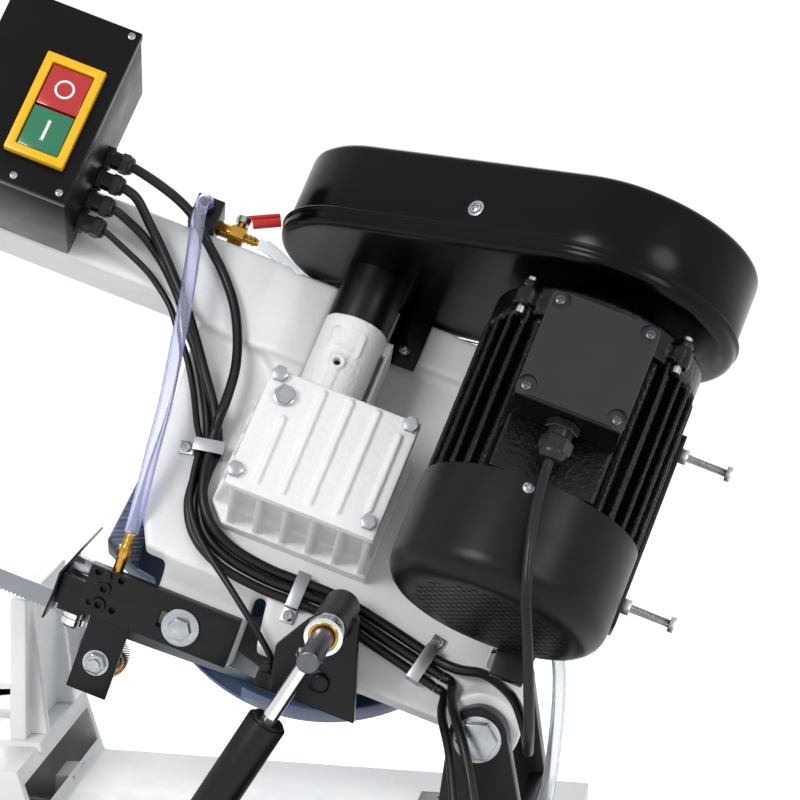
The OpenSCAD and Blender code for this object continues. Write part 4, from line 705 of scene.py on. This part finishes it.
plates = {
    "stand_frame": (glossBlack, 0.8, machineSpace), "chip_tray": (trayPaint, 0.8, machineSpace),
    "bed": (whiteEnamel, 2.5, machineSpace), "pivot_bracket": (barBlack, 1.2, machineSpace),
    "pivot_shaft": (groundSteel, 0.8, machineSpace),
    "coolant_tank": (trayPaint, 0.6, machineSpace), "coolant_pump": (barBlack, 0.8, machineSpace),
    "work_stop": (groundSteel, 0.8, machineSpace), "vise_screw": (groundSteel, 0.5, machineSpace),
    "mains_plug": (nylon, 0.8, machineSpace), "belt_pan": (glossBlack, 0.3, bowSpace),
    "worm_shaft": (groundSteel, 0, bowSpace), "motor_rotor": (groundSteel, 0, bowSpace),
    "motor_fan": (nylon, 0.4, bowSpace), "drive_belt": (beltRubber, 0.4, bowSpace),
    "worm_wheel": (wormBronze, 0.3, bowSpace), "drive_wheel": (wheelIron, 0.8, bowSpace),
    "idler_wheel": (wheelIron, 0.8, bowSpace), "tension_block": (wheelIron, 1, bowSpace),
    "blade": (bandSteel, 0, bowSpace), "top_guard": (bluePaint, 0.5, bowSpace),
    "drive_door": (bluePaint, 0.6, bowSpace), "idler_door": (bluePaint, 0.6, bowSpace),
    "fan_cover": (satinBlack, 0, bowSpace), "terminal_box": (blackAbs, 1.5, bowSpace),
    "motor_plate": (barBlack, 0.8, bowSpace),
    "machine_screws": (zincPlate, 0.35, bowSpace), "switch_box": (blackAbs, 1.5, bowSpace),
    "switch_lid": (blackAbs, 1.5, bowSpace), "switch_frame": (yellowAbs, 1.5, bowSpace),
    "start_button": (greenKey, 1.0, bowSpace), "stop_button": (redKey, 1.0, bowSpace),
    "cable_clips": (sheetAluminium, 0.3, bowSpace),
    "brass_fittings": (castBrass, 0.3, bowSpace), "valve_lever": (redVinyl, 0.8, bowSpace),
    "hose_block": (barBlack, 1.0, bowSpace), "guide_bracket": (barBlack, 0.6, levelSpace),
    "wire_brush": (brushWire, 0, levelSpace), "cylinder_body": (barBlack, 0.5, machineSpace),
    "cylinder_rod": (chromePlate, 0.5, machineSpace),
}
for node, choices in plates.items():
    roundedCopy(node, *choices)
print("plates and turned parts made:", len(plates))

# belt housing: pressed sheet, rolled at its rim


# centre across and deep, radius of each end, sheet and heights, in mm
beltHousing = {"wormEnd": (15, 59, 99), "motorEnd": (-185, 155, 117), "sheet": 2,
               "panFloor": 193.5, "panRim": [(0.2, 205.6), (1.2, 206.4), (2.0, 207.4),
                                             (2.0, 208.4), (1.2, 209.2), (0, 209.4),
                                             (-1.2, 209), (-1.8, 208)],
               "wormHole": (18, 55, 26.5), "motorHole": (-188, 155, 46),
               "coverFoot": 195.6, "coverTop": 277.6, "flat": -30,
               "screw": (-49.7, 208.2), "screwUp": 32, "screwTurn": 30.3}


def beltRing(grow, z):
    # one turn round both ends, grown by some mm
    ax, ay, aRadius = beltHousing["wormEnd"]
    bx, by, bRadius = beltHousing["motorEnd"]
    a, b, ends = Vector((ax, ay)), Vector((bx, by)), (aRadius + grow, bRadius + grow)
    way = math.atan2(b.y - a.y, b.x - a.x)
    lean = math.acos((ends[0] - ends[1]) / (b - a).length)
    ring = []
    for centre, radius, start, stop in ((a, ends[0], way + lean, way + 2 * math.pi - lean),
                                        (b, ends[1], way - lean, way + lean)):
        for k in range(49):
            angle = start + (stop - start) * k / 48
            ring.append((centre.x + radius * math.cos(angle),
                         centre.y + radius * math.sin(angle), z))
    return ring


def roundEdge(grow, z, radius, start, stop, count=7):
    return [(grow + radius * math.cos(math.radians(start + (stop - start) * k / count)),
             z + radius * math.sin(math.radians(start + (stop - start) * k / count)))
            for k in range(count + 1)]


def makeBeltPan():
    low, flatTo = beltHousing["panFloor"], beltHousing["flat"]
    high = low + beltHousing["sheet"]
    outside = [(flatTo, low), (-14, low)] + roundEdge(-8.5, low + 8.5, 8.5, -90, 0)
    inside = [(-1.9, 203)] + roundEdge(-8.5, low + 8.5, 6.5, 0, -90) + [(-14, high),
                                                                       (flatTo, high)]
    bm = ringStack([beltRing(g, z) for g, z in outside + beltHousing["panRim"] + inside],
                   closed=True)
    # the floor of the pan stands round both shafts
    for z in (low, high):
        loops = [beltRing(flatTo, z)]
        for x, y, r in (beltHousing["wormHole"], beltHousing["motorHole"]):
            loops.append([(x + r * math.cos(math.pi * k / 24), y + r * math.sin(math.pi * k / 24),
                           z) for k in range(48)])
        edges = []
        for loop in loops:
            verts = [bm.verts.new(p) for p in loop]
            edges += [bm.edges.new((verts[k - 1], verts[k])) for k in range(len(verts))]
        bmesh.ops.triangle_fill(bm, use_beauty=True, edges=edges)
    x, y, r = beltHousing["motorHole"]
    addTurned(bm, Matrix.Translation((x, y, 0)), [(r, low), (r, high)], 48, capped=False)
    bmesh.ops.remove_doubles(bm, verts=bm.verts, dist=0.001)
    bmesh.ops.recalc_face_normals(bm, faces=bm.faces)
    addPiece("beltPanRim", bm, nodeBody["belt_pan"], glossBlack, bowSpace, 50)


def makeBeltCover():
    foot, top = beltHousing["coverFoot"], beltHousing["coverTop"]
    flatTo, under = beltHousing["flat"], top - beltHousing["sheet"]
    outside = [(-3.4, foot), (-2.5, foot + 0.8), (-2.6, foot + 40)]
    outside += roundEdge(-10.6, top - 8, 8, 0, 90) + [(flatTo, top)]
    inside = [(flatTo, under)] + roundEdge(-10.6, top - 8, 6, 90, 0) + [(-4.6, foot + 0.4)]
    bm = ringStack([beltRing(g, z) for g, z in outside + inside], closed=True)
    for z, side in ((top, 1), (under, -1)):
        bm.faces.new([bm.verts.new(p) for p in beltRing(flatTo, z)][::side])
    bmesh.ops.remove_doubles(bm, verts=bm.verts, dist=0.001)
    # its screw, plated, on a small washer
    turn = math.radians(beltHousing["screwTurn"])
    way = (math.sin(turn), math.cos(turn), 0)
    at = Vector((*beltHousing["screw"], foot + beltHousing["screwUp"]))
    addTurned(bm, aimed(at, way), [(7.4, -0.4), (7.4, 0.9), (6.8, 1.2), (3, 1.2)], 32, finish=1)
    crossHead(bm, at + Vector(way) * 1.1, way, 5.4, 3.2, 1)
    bmesh.ops.recalc_face_normals(bm, faces=bm.faces)
    addPiece("beltCoverForm", bm, nodeBody["belt_cover"], glossBlack, bowSpace, 50,
             ["belt_cover"], [zincPlate])


makeBeltPan()
makeBeltCover()

# terminal box lid with its corners cut in round the screws


terminalLid = {"across": (-235.5, -140.5), "up": (54, 150), "seat": 292, "corner": 6,
               "cut": 8.6, "base": [(0, 0), (3.6, 0), (4.1, 0.3), (4.3, 0.8)],
               "raised": [(3.8, 0.4), (7.2, 0.5), (7.7, 0.8), (7.9, 1.3)], "screw": (4.2, 2.2)}


def makeLid():
    (x0, x1), (z0, z1), seat = terminalLid["across"], terminalLid["up"], terminalLid["seat"]
    middle = Vector(((x0 + x1) / 2, (z0 + z1) / 2))
    outline = []
    for cx, cz, start in ((x1, z1, 0), (x0, z1, 90), (x0, z0, 180), (x1, z0, 270)):
        # the cut runs round the screw from one side of the corner to the other
        inX = cx - math.copysign(8, cx - middle.x)
        inZ = cz - math.copysign(8, cz - middle.y)
        for k in range(13):
            angle = math.radians(start) - math.radians(21.5 + 227 * k / 12)
            outline.append((inX + terminalLid["cut"] * math.cos(angle),
                            inZ + terminalLid["cut"] * math.sin(angle)))
    bm, base, r = bmesh.new(), [], terminalLid["corner"]
    for cx, cz, start in ((x1 - r, z1 - r, 0), (x0 + r, z1 - r, 90), (x0 + r, z0 + r, 180),
                          (x1 - r, z0 + r, 270)):
        for k in range(9):
            angle = math.radians(start + 90 * k / 8)
            base.append((cx + r * math.cos(angle), cz + r * math.sin(angle)))

    def level(points, height, inset):
        return [((p[0] - middle.x) * (1 - inset / 47) + middle.x, seat + height,
                 (p[1] - middle.y) * (1 - inset / 47) + middle.y) for p in points]

    for points, steps in ((base, terminalLid["base"]), (outline, terminalLid["raised"])):
        ringStack([level(points, *step) for step in steps], bm=bm)
    bmesh.ops.recalc_face_normals(bm, faces=bm.faces)
    for x, z in fasteners["lid"]:
        crossHead(bm, (x, seat + 4.2, z), (0, 1, 0), *terminalLid["screw"], 1)
    addPiece("terminalLidForm", bm, nodeBody["terminal_lid"], greyAbs, bowSpace, 20,
             ["terminal_lid"], [pinSteel])


makeLid()

# screw heads, threads and glands


# heads as radius and height; profiles as pairs of radius and height
heads = {"box": (3.6, 2.2), "tab": (5, 2.8), "fan": (5, 2.8),
         "plugRing": [(9.6, 0), (9.6, 1.6), (9, 2)],
         "plug": [(9, 1.8), (9.2, 7.6), (8.4, 8.6), (6.4, 8.6), (6, 8)],
         "bolt": {"radius": 4, "pitch": 1.25, "depth": 0.55}}


def makeHeads():
    bm = bmesh.new()
    outward = (0, 1, 0)
    for x, z in fasteners["box"]:
        crossHead(bm, (x, fasteners["boxFace"], z), outward, *heads["box"])
    x, z = fasteners["tab"]
    crossHead(bm, (x, fasteners["tabFace"], z), outward, *heads["tab"])
    # the gearbox's filler plug on its ring
    x, z = fasteners["plug"]
    at = aimed((x, fasteners["plugFace"], z), outward)
    addTurned(bm, at, heads["plugRing"])
    addTurned(bm, at, heads["plug"], 48, hexagonal)
    # the fan cover's screw
    side = Vector((*fasteners["fanSide"], 0)).normalized()
    axis = Vector((*fasteners["motorAxis"], fasteners["fanUp"]))
    crossHead(bm, axis + side * fasteners["fanRadius"], side, *heads["fan"])
    deep, (near0, far0) = fasteners["boltDeep"], fasteners["boltRun"]
    for z in fasteners["boltsUp"]:
        threadRod(bm, (near0, deep, z), (far0, deep, z), **heads["bolt"])
    bmesh.ops.recalc_face_normals(bm, faces=bm.faces)
    addPiece("crossHeadScrews", bm, "bow", zincPlate, bowSpace, 40)


def ribbed(part):
    return 1 - 0.035 * abs(math.sin(part * 18 * math.pi))


switchGland = {"places": [(291, 32, 150), (291, 32, 172), (291, 32, 195), (291, 32, 217)],
               "aim": (-1, 0, 0), "flange": [(10.4, 0), (11, 0.6), (11, 5.4), (10.4, 6)],
               "neck": [(8.5, 5.8), (8.5, 14)],
               "nut": [(8.8, 13.2), (9.8, 14), (9.8, 20), (9.2, 21.4)],
               "grip": [(8.6, 20.6), (8.7, 22.4), (8.1, 24.2), (7, 25.4), (6, 26), (4.9, 26)]}
motorGland = {"places": [(-188, 265, 55)], "aim": (0, 0, -1),
              "flange": [(13.4, 0), (14.4, 0.8), (14.4, 7.2), (13.6, 8)],
              "neck": [(11, 7.8), (11, 15)],
              "nut": [(12.6, 14.6), (14.2, 15.8), (14.2, 25), (13, 27)],
              "grip": [(12, 26), (12, 28.4), (11.2, 31), (9.4, 33.4), (7.4, 34.8), (5, 35)]}


def makeGlands():
    bm = bmesh.new()
    for gland in (switchGland, motorGland):
        for place in gland["places"]:
            at = aimed(place, gland["aim"])
            addTurned(bm, at, gland["flange"], 48, hexagonal)
            addTurned(bm, at, gland["neck"])
            addTurned(bm, at, gland["nut"], 72, hexagonal)
            addTurned(bm, at, gland["grip"], 72, ribbed)
    bmesh.ops.recalc_face_normals(bm, faces=bm.faces)
    addPiece("glandForms", bm, nodeBody["cable_glands"], nylon, bowSpace, 34,
             ["cable_glands"])


# two small bearings on each side of the band; the offset is from the wheel plane
roller = {"across": 168, "up": -196, "band": (-110, 150.75), "offset": 11.5,
          "seal": (6, 8.7),
          "profile": [(10.4, 0), (11, 0.6), (11, 6.4), (10.6, 6.9), (10.6, 7.1), (11, 7.6),
                      (11, 13.4), (10.4, 14), (8.8, 14), (8.8, 13.4), (6, 13.4), (6, 14),
                      (4.1, 14), (4.1, 0), (6, 0), (6, 0.6), (8.8, 0.6), (8.8, 0)]}


def makeRollers():
    # ground rings, dark seals
    cant = math.radians(bowPlace["cant"])
    band = roller["band"][0] * math.cos(cant) + roller["band"][1] * math.sin(cant)
    for name, side in (("guide_roller_rear", 1), ("guide_roller_front", -1)):
        deep = band + side * roller["offset"]
        bm = bmesh.new()
        addTurned(bm, Matrix.Translation((roller["across"], deep, roller["up"])),
                  roller["profile"], 56, closed=True)
        for face in bm.faces:
            c = face.calc_center_median()
            if roller["seal"][0] < flat(c.x - roller["across"], c.y - deep) < roller["seal"][1]:
                face.material_index = 1
        bmesh.ops.recalc_face_normals(bm, faces=bm.faces)
        addPiece(name + "Form", bm, nodeBody[name], chromePlate, levelSpace, 34, [name],
                 [nylon])


pinBush = {"place": (-62, 157.5, -68), "profile": [(10.2, 0), (13.2, 0), (13.2, 1.5),
                                                   (12.4, 2.1), (10.8, 2.1), (10.2, 1.6)]}
brushNut = {"place": (131, 26.6, -214), "washer": [(6.1, 0), (12, 0), (12, 1.4), (6.1, 1.4)],
            "nut": [(8.6, 1.5), (9.8, 2.1), (9.8, 6.8), (8.6, 7.4)],
            "stud": {"start": (131, 33.8, -214), "end": (131, 37.5, -214), "radius": 5.9,
                     "pitch": 1.5, "depth": 0.6}}


def makeBush():
    # bronze bush round the pin, and the brush's nut
    bm = bmesh.new()
    addTurned(bm, aimed(pinBush["place"], (0, 1, 0)), pinBush["profile"], 56, closed=True)
    bmesh.ops.recalc_face_normals(bm, faces=bm.faces)
    addPiece("pinBush", bm, nodeBody["cylinder_arm"], castBrass, levelSpace, 34)
    bm = bmesh.new()
    at = aimed(brushNut["place"], (0, 1, 0))
    addTurned(bm, at, brushNut["washer"], closed=True)
    addTurned(bm, at, brushNut["nut"], 48, hexagonal)
    threadRod(bm, **brushNut["stud"])
    bmesh.ops.recalc_face_normals(bm, faces=bm.faces)
    addPiece("brushNut", bm, nodeBody["wire_brush"], zincPlate, levelSpace, 34)


makeHeads()
makeGlands()
makeRollers()
makeBush()
print("small forms made")

# floor, backdrop and lamps


# lamps as place, size in metres and watts
studio = {"floorSize": 30, "floorColour": "#f6f6f6", "floorGlow": 0.52,
          "sky": "#f4f6fa", "skyLevel": 0.6, "aim": (-0.2, 0, 0.8),
          "lamps": {"keyLamp": ((1.5, 3.3, 3.1), 1.5, 84),
                    "sideLamp": ((-2.6, 2.2, 2.4), 1.2, 22),
                    "frontLamp": ((0.6, -3.2, 2.6), 2.4, 44)}}


def seenRays(tree):
    # 1 where the camera looks straight at it, in a reflection or through glass
    rays = addNode(tree, "ShaderNodeLightPath").outputs
    seen = addNode(tree, "ShaderNodeMath", {0: rays["Is Camera Ray"],
                   1: rays["Is Glossy Ray"]}, operation="MAXIMUM")
    return addNode(tree, "ShaderNodeMath", {0: seen.outputs[0],
                   1: rays["Is Transmission Ray"]}, operation="MAXIMUM").outputs[0]


def makeStage():
    bm = bmesh.new()
    bmesh.ops.create_grid(bm, x_segments=1, y_segments=1, size=studio["floorSize"])
    material, tree, shader = newMaterial("paleStudioFloor")
    floor = addPiece("floor", bm, None, material)
    shader.inputs["Base Color"].default_value = hexColour(studio["floorColour"])
    shader.inputs["Roughness"].default_value = 0.9
    shader.inputs["Specular IOR Level"].default_value = 0.1
    glow = addNode(tree, "ShaderNodeMath", {0: seenRays(tree), 1: studio["floorGlow"]},
                   operation="MULTIPLY")
    shader.inputs["Emission Color"].default_value = hexColour("#ffffff")
    tree.links.new(glow.outputs[0], shader.inputs["Emission Strength"])


def makeLight():
    world = bpy.data.worlds.new("studio")
    bpy.context.scene.world = world
    world.use_nodes = True
    tree = world.node_tree
    tree.nodes.clear()
    plain = addNode(tree, "ShaderNodeBackground", {"Color": hexColour(studio["sky"]),
                    "Strength": studio["skyLevel"]})
    white = addNode(tree, "ShaderNodeBackground", {"Color": hexColour("#ffffff"), "Strength": 1.0})
    mix = addNode(tree, "ShaderNodeMixShader", {0: seenRays(tree), 1: plain.outputs[0],
                  2: white.outputs[0]})
    out = addNode(tree, "ShaderNodeOutputWorld")
    tree.links.new(mix.outputs[0], out.inputs["Surface"])
    for name, (spot, size, power) in studio["lamps"].items():
        data = bpy.data.lights.new(name, "AREA")
        data.shape = "DISK"
        data.size = size
        data.energy = power
        lamp = bpy.data.objects.new(name, data)
        lamp.location = spot
        aim = Vector(studio["aim"]) - Vector(spot)
        lamp.rotation_euler = aim.to_track_quat("-Z", "Y").to_euler()
        bpy.context.scene.collection.objects.link(lamp)


makeStage()
makeLight()
print("stage and light made")
